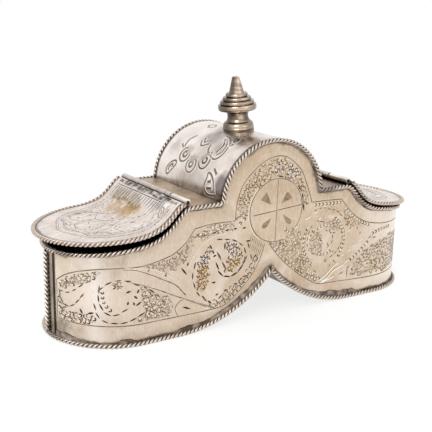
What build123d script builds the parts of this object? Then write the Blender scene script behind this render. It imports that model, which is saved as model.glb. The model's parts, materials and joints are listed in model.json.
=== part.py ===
from build123d import *
from math import asin, cos, degrees, radians, sin, sqrt
import os

# Double trinket box, hand-made from nickel-silver sheet and twisted wire.
# Millimetres. X runs along the box, -Y is the engraved front, +Z is up.
# The origin lies under the middle of the box, on the surface that it stands on.

# Stock: the sheet, the trim wire and how the wire is soldered on
sheet = 1.0
wire_radius = 1.25
solder_flat = 0.1
worn_flat = 0.15
seat = wire_radius - solder_flat
stand_z = wire_radius - worn_flat

# Plan: a stadium, straight along the front and round at both ends
half_depth = 34.8
wire_y = half_depth + seat

# Bottom: two lobes that run flat outwards and rise to a cusp in the middle
lobe_run = 57.5
lobe_angle = 48.3

# Top: a round barrel between two flat decks
deck_z = 67.2
barrel_radius = 32.0
barrel_drop = 1.7
barrel_foot_radius = 2.0

# Hinges: tubes soldered on leaves, the box's knuckle between the lid's two
hinge_x = 52.4
knuckle_radius = 1.7
pin_radius = 0.8
pin_clearance = 0.05
pin_recess = 1.0
knuckle_share = 0.4
knuckle_gap = 0.3
knuckle_sink = 0.15
leaf_thickness = 0.85
box_leaf_length = 4.2
lid_leaf_length = 4.4
leaf_inset = 0.5

# Rim: from the deck's shoulder, inboard of the hinge, down to the low open ends
shoulder_setback = 2.4
shoulder_radius = 8.0
shoulder_angle = 48.0
slope_length = 6.1
hollow_radius = 27.5
rim_angle = 7.5
rim_straight = 0.6

# Lid: the same sweep, hung a little above the rim, the right one swung further shut
lid_edge_offset = 2.4
lid_start_angle = 22.0
lid_shoulder_radius = 9.5
lid_slope_angle = 45.8
lid_slope_length = 5.8
lid_hollow_radius = 22.5
lid_hollow_angle = 17.5
lid_dish_radius = 41.0
lid_end_angle = 3.5
lid_straight = 0.3
right_lid_drop = 3.5

# End seams: a strap over each joint of the two walls, with a wire up its middle
strap_half_width = 5.5
strap_thickness = 0.7

# Finial: turned, leaning a little to the left, heights above the barrel's top along its axis
finial_lean = 5.5
finial_x = 0.8
finial_seat_depth = 2.8
finial_base_radius = 8.7
ring_groove = 0.3
ring_heights = (0.3, 1.85)
ogee_radius = 6.7
ogee_height = 4.8
neck_radius = 5.75
neck_height = 7.2
collar_radius = 6.2
collar_height = 9.7
beads_height = 11.1
bead_sizes = [(10.65, 3.05, 0.4), (9.45, 2.1, 0.45), (7.9, 1.95, 0.45), (6.1, 2.1, 0.5)]
cone_radius = 4.2
cone_height = 8.1
tip_radius = 2.1
tip_round = 0.6

# What holds the finial: a stud, a washer hollowed to the barrel and a nut, all inside
stud_radius = 1.5
stud_in_finial = 9.0
stud_in_box = 5.4
stud_clearance = 0.15
washer_radius = 4.2
washer_thickness = 1.5
nut_across_flats = 5.5
nut_height = 2.4

# Worked out from the sizes above; reach is room to cut with, longer than anything it crosses
reach = 2 * (hinge_x + half_depth)
half_sheet = sheet / 2
deck_top_z = deck_z + half_sheet
barrel_z = deck_z - barrel_drop
barrel_outer = barrel_radius + half_sheet
barrel_inner = barrel_radius - half_sheet
barrel_top_z = barrel_z + barrel_outer
inner_half_depth = half_depth - sheet
shoulder_x = hinge_x - shoulder_setback
deck_end_x = hinge_x - knuckle_radius
hinge_z = deck_top_z + leaf_thickness + knuckle_radius - knuckle_sink
bore_radius = pin_radius + pin_clearance
centre_knuckle_half = knuckle_share * half_depth
front_plane = Plane.XZ
finial_place = Pos(finial_x, 0, barrel_top_z) * Rot(0, -finial_lean, 0)


def trace(start, heading, steps, shift=0.0):
    """Lines and tangent arcs from start, all moved sideways by shift (left of travel is positive).

    A step is (length,) for a line or (radius, turn) for an arc, turn in degrees, left positive.
    Returns the edges, the end point and the end heading.
    """
    angle = radians(heading)
    x = start[0] - sin(angle) * shift
    z = start[1] + cos(angle) * shift
    edges = []
    for step in steps:
        if len(step) == 1:
            end = (x + cos(angle) * step[0], z + sin(angle) * step[0])
            edges.append(Edge.make_line((x, z), end))
        else:
            side = 1 if step[1] > 0 else -1
            radius = step[0] - side * shift
            turn = radians(step[1])
            centre = (x - sin(angle) * radius * side, z + cos(angle) * radius * side)
            middle, end = [
                (centre[0] + sin(angle + part * turn) * radius * side,
                 centre[1] - cos(angle + part * turn) * radius * side)
                for part in (0.5, 1.0)
            ]
            edges.append(Edge.make_three_point_arc((x, z), middle, end))
            angle += turn
        x, z = end
    return edges, (x, z), degrees(angle)


def flat_face(edges):
    """Face in the front plane inside a closed run of edges."""
    return front_plane.location * make_face(edges)


def through(face, half_width=reach):
    """Solid made by pushing a face of the front plane both ways along Y."""
    return extrude(face, amount=half_width, dir=(0, 1, 0), both=True)


def strip(start, heading, steps, low=-half_sheet, high=half_sheet):
    """Bent sheet, seen edge-on: the face between two offsets of one path."""
    lower, lower_end, _ = trace(start, heading, steps, low)
    upper, upper_end, _ = trace(start, heading, steps, high)
    ends = [Edge.make_line(lower[0] @ 0, upper[0] @ 0), Edge.make_line(lower_end, upper_end)]
    return flat_face(lower + upper + ends)


def stadium(centre_x, half_width):
    """Upright prism whose plan is the stadium outline."""
    outline = SlotCenterToCenter(2 * centre_x, 2 * half_width)
    return extrude(outline, amount=reach, both=True)


def block(x, y, z):
    """Box between two corners, each given as a (low, high) pair."""
    sizes = [high - low for low, high in (x, y, z)]
    middle = [(low + high) / 2 for low, high in (x, y, z)]
    return Pos(*middle) * Box(*sizes)


def across(radius, x=0.0, z=0.0, half_width=reach):
    """Cylinder along Y."""
    return Pos(x, 0, z) * Rot(90, 0, 0) * Cylinder(radius, 2 * half_width)


def lift(edges, y):
    """Edges of the front plane, moved to the depth y."""
    return [Pos(0, y, 0) * (front_plane.location * edge) for edge in edges]


def end_turn(point, slope, centre_x):
    """Half turn of the trim wire round a box end, in a plane that slopes down outwards."""
    tilt = radians(slope)
    rise = (centre_x - point[0]) * sin(tilt) / cos(tilt)
    start_z = point[1] - rise
    corners = [
        (centre_x + wire_y * part * cos(tilt), side * wire_y, start_z - wire_y * part * sin(tilt))
        for part, side in ((0, -1), (1, 0), (0, 1))
    ]
    return corners


def tube(edges):
    """Round wire along a path."""
    path = Wire(edges)
    section = Plane(origin=path @ 0, z_dir=path % 0) * Circle(wire_radius)
    return sweep(section, path=path)


def mirrored(part):
    """The same piece at the other end of the box."""
    return part.mirror(Plane.YZ)


# Paths, right half, as (start, heading, steps); the lobe starts a little past the middle
lobe_lead = 2.0
lobe_radius = lobe_run / sin(radians(lobe_angle))
lead_angle = degrees(asin((lobe_run + lobe_lead) / lobe_radius))
lobe_start = (-lobe_lead, stand_z + lobe_radius * (1 - cos(radians(lead_angle))))
base_path = (lobe_start, -lead_angle, [(lobe_radius, lead_angle), (reach - lobe_run,)])

foot_rise = deck_z + barrel_foot_radius - barrel_z
foot_angle = degrees(asin(foot_rise / (barrel_radius + barrel_foot_radius)))
foot_x = sqrt((barrel_radius + barrel_foot_radius)**2 - foot_rise**2)
crest_steps = [
    (barrel_radius, foot_angle - 90),
    (barrel_foot_radius, 90 - foot_angle),
    (shoulder_x - foot_x,),
]
sweep_steps = [
    (shoulder_radius, -shoulder_angle),
    (slope_length,),
    (hollow_radius, shoulder_angle - rim_angle),
]
crest_top = (0.0, barrel_z + barrel_radius)
sweep_end = trace((shoulder_x, deck_z), 0, sweep_steps)[1]
end_centre_x = sweep_end[0] + rim_straight

lid_steps = [
    (lid_shoulder_radius, lid_start_angle - lid_slope_angle),
    (lid_slope_length,),
    (lid_hollow_radius, lid_slope_angle - lid_hollow_angle),
    (lid_dish_radius, lid_hollow_angle - lid_end_angle),
]
lid_slant = radians(lid_start_angle)
leaf_level = knuckle_radius - leaf_thickness - half_sheet
lid_start_x = hinge_x + lid_edge_offset
lid_start_z = hinge_z + (leaf_level - lid_edge_offset * sin(lid_slant)) / cos(lid_slant)
lid_start = (lid_start_x, lid_start_z)
lid_end = trace(lid_start, -lid_start_angle, lid_steps)[1]
lid_centre_x = lid_end[0] + lid_straight

outer_stadium = stadium(end_centre_x, half_depth)
inner_stadium = stadium(end_centre_x, inner_half_depth)
right_space = block((0, reach), (-reach, reach), (-reach, reach))
front_space = block((-reach, reach), (-reach, 0), (-reach, reach))


# Walls: one bent panel each for front and back, meeting at the two round ends
def wall_pair():
    top_start = (shoulder_x, deck_z)
    top, top_end, _ = trace(top_start, 0, sweep_steps + [(reach - end_centre_x,)], half_sheet)
    bottom, bottom_end, _ = trace(*base_path, half_sheet)
    under_deck = deck_z - half_sheet
    corner = (shoulder_x, deck_top_z)
    sides = [
        Edge.make_line(top_end, (bottom_end[0], top_end[1])),
        Edge.make_line((bottom_end[0], top_end[1]), bottom_end),
        Edge.make_line(bottom[0] @ 0, (-lobe_lead, corner[1])),
        Edge.make_line((-lobe_lead, corner[1]), corner),
    ]
    body = through(flat_face(top + bottom + sides)) & right_space
    body -= block((-reach, deck_end_x), (-reach, reach), (under_deck, reach))
    arch = across(barrel_inner, z=barrel_z) & right_space
    body += arch & block((-reach, reach), (-reach, reach), (under_deck, reach))
    half = body & (outer_stadium - inner_stadium)
    ring = half + mirrored(half)
    return ring & front_space, ring - front_space


front_wall, back_wall = wall_pair()

# Base: one sheet, folded up along its middle into the cusp
base_half = through(strip(*base_path)) & right_space & outer_stadium
base_plate = base_half + mirrored(base_half)

# Partition between the two compartments, astride the fold
divider = block((-half_sheet, half_sheet), (-inner_half_depth, inner_half_depth),
                (stand_z, deck_z - half_sheet))
divider = (divider - base_plate).solids().sort_by(Axis.Z)[-1]

# Roof: the barrel, and a deck each side of it
barrel_ring = across(barrel_outer, z=barrel_z) - across(barrel_inner, z=barrel_z)
roof_block = block((-reach, reach), (-half_depth, half_depth), (deck_z - half_sheet, reach))
stud_hole = finial_place * Cylinder(stud_radius + stud_clearance, 8 * sheet)
barrel_roof = (barrel_ring & roof_block) - stud_hole
right_deck = block((barrel_inner, deck_end_x), (-half_depth, half_depth),
                   (deck_z - half_sheet, deck_top_z))
right_deck -= across(barrel_outer, z=barrel_z)


# Trim wires: one along each wall's top edge, and two round the base
def rim_wire(side):
    crest, crest_end, _ = trace(crest_top, 0, crest_steps)
    slope, slope_end, _ = trace(crest_end, 0, sweep_steps)
    turn = end_turn(slope_end, rim_angle, end_centre_x)
    start_of_turn = (turn[0][0], turn[0][2])
    edges = lift(crest + slope + [Edge.make_line(slope_end, start_of_turn)], -wire_y)
    full_turn = Edge.make_three_point_arc(*turn)
    edges.append(full_turn)
    half = tube(edges) - outer_stadium
    half = half & front_space & right_space
    whole = half + mirrored(half)
    return whole if side == "front" else whole.mirror(Plane.XZ)


front_rim_wire = rim_wire("front")
back_rim_wire = rim_wire("back")


def base_wire():
    lobe, lobe_end, _ = trace(base_path[0], base_path[1], base_path[2][:1])
    straight = Edge.make_line(lobe_end, (end_centre_x, stand_z))
    front = lift(lobe + [straight], -wire_y)
    back = [edge.mirror(Plane.XZ) for edge in front]
    turn = Edge.make_three_point_arc(*end_turn((end_centre_x, stand_z), 0, end_centre_x))
    wire = tube(front + [turn] + back) - outer_stadium
    return wire & right_space & block((-reach, reach), (-reach, reach), (0, reach))


right_base_wire = base_wire()

# End seams
rim_edge_z = end_turn(sweep_end, rim_angle, end_centre_x)[1][2]
seam_low = stand_z + wire_radius
seam_high = rim_edge_z - wire_radius
strap_ring = Cylinder(half_depth + strap_thickness, 2 * reach) - Cylinder(half_depth, 2 * reach)
strap_window = block((end_centre_x, reach), (-strap_half_width, strap_half_width), (seam_low, seam_high))
right_end_strap = (Pos(end_centre_x, 0, 0) * strap_ring) & strap_window
end_wire_x = end_centre_x + half_depth + strap_thickness + seat
right_end_wire = Pos(end_wire_x, 0, (seam_low + seam_high) / 2) * Cylinder(
    wire_radius, seam_high - seam_low)
right_end_wire -= Pos(end_centre_x, 0, 0) * Cylinder(half_depth + strap_thickness, 2 * reach)

# Lid: a dished tongue with a wire round its free edge
lid_prism = stadium(lid_centre_x, half_depth) & right_space
right_lid = through(strip(lid_start, -lid_start_angle, lid_steps + [(reach - lid_centre_x,)]))
right_lid = right_lid & lid_prism


def lid_wire():
    edge, edge_end, _ = trace(lid_start, -lid_start_angle, lid_steps)
    turn = end_turn(edge_end, lid_end_angle, lid_centre_x)
    front = lift(edge + [Edge.make_line(edge_end, (turn[0][0], turn[0][2]))], -wire_y)
    back = [piece.mirror(Plane.XZ) for piece in front]
    return tube(front + [Edge.make_three_point_arc(*turn)] + back) - lid_prism


right_lid_wire = lid_wire()

# Hinge
knuckle = across(knuckle_radius, hinge_x, hinge_z, half_depth)
hinge_bore = across(bore_radius, hinge_x, hinge_z)
centre_space = block((-reach, reach), (-centre_knuckle_half, centre_knuckle_half), (-reach, reach))
lid_knuckle_half = centre_knuckle_half + knuckle_gap
lid_knuckle_gap = block((-reach, reach), (-lid_knuckle_half, lid_knuckle_half), (-reach, reach))

box_leaf = block((hinge_x - box_leaf_length, hinge_x), (-reach, reach),
                 (deck_top_z, deck_top_z + leaf_thickness))
right_box_leaf = ((knuckle + (box_leaf & centre_space)) & centre_space) - hinge_bore

leaf_low = -half_sheet - leaf_thickness
leaf_high = -half_sheet
leaf_half_width = half_depth - leaf_inset
shoulder_run = lid_shoulder_radius * radians(lid_slope_angle - lid_start_angle)
tail_steps = [lid_steps[0], (lid_leaf_length - shoulder_run,)]
lid_tail = through(strip(lid_start, -lid_start_angle, tail_steps, leaf_low, leaf_high), leaf_half_width)
lug_length = lid_edge_offset * cos(lid_slant) - (lid_start_z - hinge_z) * sin(lid_slant)
lid_lug = through(strip(lid_start, 180 - lid_start_angle, [(lug_length,)], -leaf_high, -leaf_low),
                  leaf_half_width)
right_lid_leaf = ((knuckle + lid_lug) - lid_knuckle_gap) + lid_tail - hinge_bore

right_hinge_pin = across(pin_radius, hinge_x, hinge_z, half_depth - pin_recess)


# Finial: turned profile as (radius, height), with round rings and beads
def finial_profile():
    corners = [(0, -finial_seat_depth), (finial_base_radius, -finial_seat_depth)]
    edges = [Edge.make_line(*corners)]
    here = corners[-1]

    def line_to(point):
        nonlocal here
        edges.append(Edge.make_line(here, point))
        here = point

    def curve_to(middle, point):
        nonlocal here
        edges.append(Edge.make_three_point_arc(here, middle, point))
        here = point

    groove_radius = finial_base_radius - ring_groove
    low, high = ring_heights
    line_to((finial_base_radius, low - ring_groove))
    curve_to((finial_base_radius - ring_groove / 4, low - ring_groove / 4), (groove_radius, low))
    curve_to((finial_base_radius, (low + high) / 2), (groove_radius, high))
    curve_to((finial_base_radius - ring_groove, (2 * high + ogee_height) / 3), (ogee_radius, ogee_height))
    curve_to((neck_radius, neck_height), (collar_radius, collar_height))
    first_radius, _, first_bulge = bead_sizes[0]
    shelf_radius = (collar_radius + first_radius) / 2
    curve_to(((collar_radius + shelf_radius) / 2 - ring_groove, (2 * collar_height + beads_height) / 3 + ring_groove / 2),
             (shelf_radius, beads_height - ring_groove))
    low = beads_height
    for radius, height, bulge in bead_sizes:
        line_to((radius - bulge, low))
        curve_to((radius, low + height / 2), (radius - bulge, low + height))
        low += height
    line_to((cone_radius, low))
    top = low + cone_height
    line_to((tip_radius, top))
    curve_to((tip_radius - tip_round / 4, top + 3 * tip_round / 4), (tip_radius - tip_round, top + tip_round))
    line_to((0, top + tip_round))
    edges.append(Edge.make_line(here, corners[0]))
    return edges


finial_face = front_plane.location * make_face(finial_profile())
finial = finial_place * revolve(finial_face, Axis.Z)
finial -= across(barrel_outer, z=barrel_z)
stud_length = stud_in_finial + stud_in_box
finial_stud = finial_place * Pos(0, 0, (stud_in_finial - stud_in_box) / 2) * Cylinder(stud_radius, stud_length)
finial -= finial_stud

washer_blank = Cylinder(washer_radius, 2 * washer_thickness) - Cylinder(stud_radius + stud_clearance, reach)
finial_washer = finial_place * Pos(0, 0, -sheet) * washer_blank
finial_washer = finial_washer & across(barrel_inner, z=barrel_z)
nut_outline = RegularPolygon(nut_across_flats / 2, 6, major_radius=False)
nut_face = nut_outline - Circle(stud_radius)
nut_low = -sheet - washer_thickness - nut_height
finial_nut = finial_place * Pos(0, 0, nut_low) * extrude(nut_face, amount=nut_height)

# The right lid, lowered about its hinge; the left one is the mirror image of it as drawn
hinge_axis = Axis((hinge_x, 0, hinge_z), (0, 1, 0))

# Hand over one STEP file for each piece, the right-hand ones mirrored for the left
single_pieces = {
    "front_wall": front_wall,
    "back_wall": back_wall,
    "base_plate": base_plate,
    "divider": divider,
    "barrel_roof": barrel_roof,
    "front_rim_wire": front_rim_wire,
    "back_rim_wire": back_rim_wire,
    "finial": finial,
    "finial_stud": finial_stud,
    "finial_washer": finial_washer,
    "finial_nut": finial_nut,
}
paired_pieces = {
    "deck": right_deck,
    "base_wire": right_base_wire,
    "end_strap": right_end_strap,
    "end_wire": right_end_wire,
    "box_hinge_leaf": right_box_leaf,
    "hinge_pin": right_hinge_pin,
}
lid_pieces = {
    "lid": right_lid,
    "lid_wire": right_lid_wire,
    "lid_hinge_leaf": right_lid_leaf,
}

os.makedirs("parts", exist_ok=True)
for name, piece in single_pieces.items():
    export_step(piece, f"parts/{name}.step")
for name, piece in paired_pieces.items():
    export_step(piece, f"parts/right_{name}.step")
    export_step(mirrored(piece), f"parts/left_{name}.step")
for name, piece in lid_pieces.items():
    export_step(piece.rotate(hinge_axis, right_lid_drop), f"parts/right_{name}.step")
    export_step(mirrored(piece), f"parts/left_{name}.step")
print("pieces written:", len(single_pieces) + 2 * len(paired_pieces) + 2 * len(lid_pieces))
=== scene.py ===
# %% [markdown]
# A hand-made trinket box in nickel silver, a white brass that ages to a warm grey-tan. It has an engraved
# front, a dished lid on a hinge at each end, a round barrel between them with a turned finial, and twisted
# wire soldered along every edge. The solid model brings the pieces at their real size and says which of them
# move together, so this script only gives them their finish. It is worked in millimetres, and each mesh is
# turned to metres when it is made.

# %% Load the solid model
import json
from math import asin, cos, degrees, pi, radians, sin, sqrt

import bpy
import numpy as np
from mathutils import Euler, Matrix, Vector


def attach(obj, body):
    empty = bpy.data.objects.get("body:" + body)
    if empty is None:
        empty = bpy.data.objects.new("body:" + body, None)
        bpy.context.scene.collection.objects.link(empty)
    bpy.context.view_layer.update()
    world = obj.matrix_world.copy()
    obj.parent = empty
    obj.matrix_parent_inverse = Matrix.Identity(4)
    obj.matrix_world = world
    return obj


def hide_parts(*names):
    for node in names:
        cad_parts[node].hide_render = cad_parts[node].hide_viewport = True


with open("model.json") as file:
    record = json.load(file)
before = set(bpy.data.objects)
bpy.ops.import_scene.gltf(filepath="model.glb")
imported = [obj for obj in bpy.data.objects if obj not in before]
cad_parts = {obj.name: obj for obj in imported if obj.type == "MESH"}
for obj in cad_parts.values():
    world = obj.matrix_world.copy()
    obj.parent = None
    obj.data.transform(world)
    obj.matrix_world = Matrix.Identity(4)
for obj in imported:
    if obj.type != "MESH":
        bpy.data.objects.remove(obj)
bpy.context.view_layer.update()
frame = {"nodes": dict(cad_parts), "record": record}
mm = 0.001
nodes = frame["nodes"]

# %% [markdown]
# The camera stands to the left of the front and a little above the box, with a long lens, as in a catalogue
# photograph. Its place and angles come from fitting a pinhole camera to the box's edges. It could look at a
# point through a constraint, but three plain angles also give the slight roll of a hand-held picture.

# %% Camera
camera_place = (-0.2601, -0.3783, 0.1712)
camera_yaw = 33.16
camera_pitch = 15.03
camera_roll = 1.13
lens_mm = 69.65
sensor_mm = 36.0

camera = bpy.data.objects.new("camera", bpy.data.cameras.new("camera"))
bpy.context.scene.collection.objects.link(camera)
camera.data.lens = lens_mm
camera.data.sensor_width = sensor_mm
camera.data.clip_start = 0.01
turn = Euler((radians(90 - camera_pitch), 0, radians(-camera_yaw))).to_matrix()
camera.rotation_euler = (turn @ Euler((0, 0, radians(camera_roll))).to_matrix()).to_euler()
camera.location = camera_place
bpy.context.scene.camera = camera
bpy.context.scene.view_settings.view_transform = "Standard"
print("camera at", camera_place)

# %% [markdown]
# Materials and shaping tools are both built from nodes, so one small function adds a node, sets it up and
# links it. A link is named by the socket it goes into, and a plain value goes on the socket itself. Colours
# are picked as the hex values that one reads off a screen, and are turned to the linear light that the shader
# works in. Each metal builds up its tone in layers: a share from 0 to 1 says how much of the tone so far a
# new colour covers. An image painted for each sheet could do the same, but would blur close up.

# %% Node and colour helpers
class Nodes:
    """A node tree, with short ways to add to it."""

    def __init__(self, tree):
        self.tree = tree
        tree.nodes.clear()

    def add(self, kind, links=None, **settings):
        """Adds a node with its settings, and links or fills its inputs. Returns the node."""
        node = self.tree.nodes.new(kind)
        for name, value in settings.items():
            setattr(node, name, value)
        for key, value in (links or {}).items():
            source = value.outputs[0] if isinstance(value, bpy.types.Node) else value
            if isinstance(source, bpy.types.NodeSocket):
                self.tree.links.new(source, node.inputs[key])
            else:
                node.inputs[key].default_value = source
        return node

    def worked(self, kind, *values):
        """One step of arithmetic on values or sockets."""
        return self.add("ShaderNodeMath", dict(enumerate(values)), operation=kind)

    def vector(self, kind, *values, **named):
        """One step of arithmetic on places or directions."""
        return self.add("ShaderNodeVectorMath", {**dict(enumerate(values)), **named}, operation=kind)

    def looked_at(self):
        """1 for rays from the camera, a reflection or glass, and 0 for rays that only carry light."""
        rays = self.add("ShaderNodeLightPath").outputs
        seen = self.worked("MAXIMUM", rays["Is Camera Ray"], rays["Is Glossy Ray"])
        return self.worked("MAXIMUM", seen, rays["Is Transmission Ray"])


def colour(hex_code):
    """Linear colour of an sRGB hex value such as D3BFA6."""
    channels = [int(hex_code[i:i + 2], 16) / 255 for i in (0, 2, 4)]
    bright = [c / 12.92 if c <= 0.04045 else ((c + 0.055) / 1.055) ** 2.4 for c in channels]
    return (*bright, 1.0)


# %% Metals
class Metal(Nodes):
    """A metal whose tone is built up in layers. Places and sizes are in millimetres."""

    def __init__(self, name):
        self.material = bpy.data.materials.new(name)
        self.material.use_nodes = True
        super().__init__(self.material.node_tree)
        self.place = self.add("ShaderNodeTexCoord").outputs["Object"]
        self.tone = None

    def mixed(self, share, under, over):
        """One colour over another by a share. A colour is a hex value or a socket."""
        under, over = [colour(c) if isinstance(c, str) else c for c in (under, over)]
        return self.add("ShaderNodeMix", {0: share, 6: under, 7: over}, data_type="RGBA").outputs[2]

    def rising(self, value, low, high, start=0.0, end=1.0):
        """A value's way from one level to another, as a share that is clamped at both ends."""
        return self.add("ShaderNodeMapRange", {"Value": value, "From Min": low, "From Max": high,
                                               "To Min": start, "To Max": end})

    def axis(self, name):
        """How far the place lies along one of the object's axes."""
        return self.add("ShaderNodeSeparateXYZ", {0: self.place}).outputs[name]

    def kept(self, name):
        """A value that the mesh keeps at each point."""
        return self.add("ShaderNodeAttribute", attribute_name=name).outputs["Fac"]

    def stretched(self, *scale):
        """The place, shrunk along some axes so that noise draws streaks along them."""
        return self.add("ShaderNodeMapping", {"Vector": self.place, "Scale": scale})

    def noise(self, size, detail=3.0, distortion=0.0, place=None):
        """Cloudy noise whose patches measure about the given size."""
        return self.add("ShaderNodeTexNoise", {"Vector": self.place if place is None else place,
                                               "Scale": 1 / (size * mm), "Detail": detail,
                                               "Distortion": distortion})

    def ragged(self, value, size, amount, detail=3.0):
        """A value that wanders by noise of a given patch size."""
        return self.worked("MULTIPLY_ADD", self.noise(size, detail), amount, value)

    def away(self, value, level=0.0):
        """How far a value is from a level."""
        return self.worked("ABSOLUTE", self.worked("SUBTRACT", value, level * mm))

    def spot(self, centre, radius, ragged, grain=4.0):
        """1 in a ragged spot round a place on the box and 0 away from it."""
        far = self.vector("DISTANCE", self.place, tuple(c * mm for c in centre)).outputs["Value"]
        return self.rising(self.ragged(far, grain, ragged * mm), (radius * 0.5 + ragged / 2) * mm,
                           (radius + ragged / 2) * mm, 1.0, 0.0)

    def layer(self, metal, share):
        """Covers a share of the tone."""
        self.tone = self.mixed(share, self.tone, metal)

    def fade(self, metal, value, low, high, start=0.0, end=1.0):
        """Covers a share that runs from start to end while a value goes from low to high."""
        self.layer(metal, self.rising(value, low, high, start, end))

    def spots(self, ragged, grain, *rows):
        """Covers ragged spots, each given as its place, radius, share and colour."""
        for centre, radius, share, metal in rows:
            self.layer(metal, self.worked("MULTIPLY", self.spot(centre, radius, ragged, grain), share))

    def finish(self, rough, metallic=1.0, **links):
        """Ends the tree and gives the material."""
        shader = self.add("ShaderNodeBsdfPrincipled", {"Base Color": self.tone, "Metallic": metallic,
                                                       "Roughness": rough, **links})
        self.add("ShaderNodeOutputMaterial", {"Surface": shader})
        return self.material


# %% [markdown]
# The stage is a white floor under a white sky. Both are a plain light tent, which is how shiny metal is
# photographed: each face reflects something pale and even. The sky lights the box at less than full white,
# and only what the camera or a reflection sees of it is white. The floor does the same and keeps a soft
# shadow.

# %% Stage and light
sky_strength = 0.9
floor_glow = 0.78
key_power = 3.2
fill_power = 0.5
floor_half = 3.0
white = (1, 1, 1, 1)

world = bpy.data.worlds.new("light_tent")
bpy.context.scene.world = world
world.use_nodes = True
sky = Nodes(world.node_tree)
lit = sky.add("ShaderNodeBackground", {"Color": white, "Strength": sky_strength})
seen = sky.add("ShaderNodeBackground", {"Color": white, "Strength": 1.0})
both = sky.add("ShaderNodeMixShader", {0: sky.looked_at(), 1: lit, 2: seen})
sky.add("ShaderNodeOutputWorld", {"Surface": both})

floor_material = bpy.data.materials.new("white_paper_floor")
floor_material.use_nodes = True
paper = Nodes(floor_material.node_tree)
lit = paper.add("ShaderNodeBsdfDiffuse", {"Color": colour("B4B4B4")})
glow = paper.add("ShaderNodeEmission", {"Color": white, "Strength": floor_glow})
shaded = paper.add("ShaderNodeBsdfDiffuse", {"Color": colour("8A8A8A")})
seen = paper.add("ShaderNodeAddShader", {0: shaded, 1: glow})
both = paper.add("ShaderNodeMixShader", {0: paper.looked_at(), 1: lit, 2: seen})
paper.add("ShaderNodeOutputMaterial", {"Surface": both})


def new_object(name, mesh):
    """An object in the scene for a mesh or a lamp."""
    thing = bpy.data.objects.new(name, mesh)
    bpy.context.scene.collection.objects.link(thing)
    return thing


floor_mesh = bpy.data.meshes.new("floor")
corners = [(x * floor_half, y * floor_half, 0) for x, y in ((-1, -1), (1, -1), (1, 1), (-1, 1))]
floor_mesh.from_pydata(corners, [], [(0, 1, 2, 3)])
floor_mesh.materials.append(floor_material)
new_object("floor", floor_mesh)


def softbox(name, place, aim, width, height, power):
    """A rectangular lamp that points at a place."""
    data = bpy.data.lights.new(name, "AREA")
    data.shape = "RECTANGLE"
    data.size = width
    data.size_y = height
    data.energy = power
    lamp = new_object(name, data)
    lamp.location = place
    lamp.rotation_euler = (Vector(aim) - Vector(place)).to_track_quat("-Z", "Y").to_euler()


softbox("key_softbox", (-0.75, -0.55, 0.75), (-0.03, 0, 0.04), 0.5, 0.5, key_power)
softbox("front_fill", (0.35, -0.95, 0.35), (0, 0, 0.04), 0.5, 0.7, fill_power)
print("lamps:", len(bpy.data.lights))

# %% [markdown]
# The box's shape follows a few lines: the rim with its barrel, the two lobes of the bottom, and the lid's
# sweep. Trim wire, solder and engraving all follow them, so they are worked out once, from the same sizes as
# the solid model. A line is a chain of straight runs and tangent arcs. It could be drawn by hand as a curve,
# but then the wire would drift off the sheet.

# %% Lines of the box
sheet = 1.0
wire_radius = 1.25
half_depth = 34.8
wire_seat = 1.15
wire_y = half_depth + wire_seat
strap_thickness = 0.7
stand_z = 1.1
lobe_run = 57.5
lobe_angle = 48.3
deck_z = 67.2
barrel_radius = 32.0
barrel_z = 65.5
foot_radius = 2.0
hinge_x = 52.4
hinge_z = 70.1
knuckle_radius = 1.7
shoulder_x = 50.0
rim_sweep = [(8.0, -48.0), (6.1,), (27.5, 40.5)]
rim_angle = 7.5
rim_straight = 0.6
lid_start = (54.8, 69.508)
lid_start_angle = 22.0
lid_sweep = [(9.5, -23.8), (5.8,), (22.5, 28.3), (41.0, 14.0)]
lid_end_angle = 3.5
lid_straight = 0.3
right_lid_drop = 3.5
half_sheet = sheet / 2


def trace(start, heading, steps, spacing=0.5):
    """Points and headings along straight runs (length,) and arcs (radius, turn in degrees)."""
    points, headings = [np.array(start, float)], [radians(heading)]
    for step in steps:
        length = step[0] if len(step) == 1 else step[0] * abs(radians(step[1]))
        bend = 0.0 if len(step) == 1 else radians(step[1])
        count = max(2, int(length / spacing))
        place, angle = points[-1], headings[-1]
        for part in np.linspace(0, 1, count + 1)[1:]:
            middle = angle + bend * part / 2
            chord = length * part * (np.sinc(bend * part / 2 / pi))
            points.append(place + chord * np.array([cos(middle), sin(middle)]))
            headings.append(angle + bend * part)
    return np.array(points), np.array(headings)


def half_turn(end, slope, centre_x, count=60):
    """The turn round a box end to its nose, in a plane that slopes down outwards, with outward vectors."""
    tilt = radians(slope)
    top_z = end[1] - (centre_x - end[0]) * sin(tilt) / cos(tilt)
    angles = np.linspace(-pi / 2, 0, count)
    run = np.cos(angles)
    points = np.stack([centre_x + wire_y * run * cos(tilt), wire_y * np.sin(angles),
                       top_z - wire_y * run * sin(tilt)], 1)
    return points, np.stack([run, np.sin(angles), 0 * run], 1)


def front_then_turn(line, slope, centre_x):
    """A path along the front, then round the end to the nose, with its outward vectors."""
    front = np.stack([line[:, 0], np.full(len(line), -wire_y), line[:, 1]], 1)
    out = np.tile([0.0, -1.0, 0.0], (len(front), 1))
    turned = half_turn(line[-1], slope, centre_x)
    return np.vstack([front, turned[0]]), np.vstack([out, turned[1]])


foot_rise = deck_z + foot_radius - barrel_z
foot_angle = degrees(asin(foot_rise / (barrel_radius + foot_radius)))
foot_x = sqrt((barrel_radius + foot_radius) ** 2 - foot_rise ** 2)
crest_steps = [(barrel_radius, foot_angle - 90), (foot_radius, 90 - foot_angle), (shoulder_x - foot_x,)]
rim_line = trace((0, barrel_z + barrel_radius), 0, crest_steps + rim_sweep)[0]
end_centre_x = rim_line[-1][0] + rim_straight
rim_path = front_then_turn(rim_line, rim_angle, end_centre_x)

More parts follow.
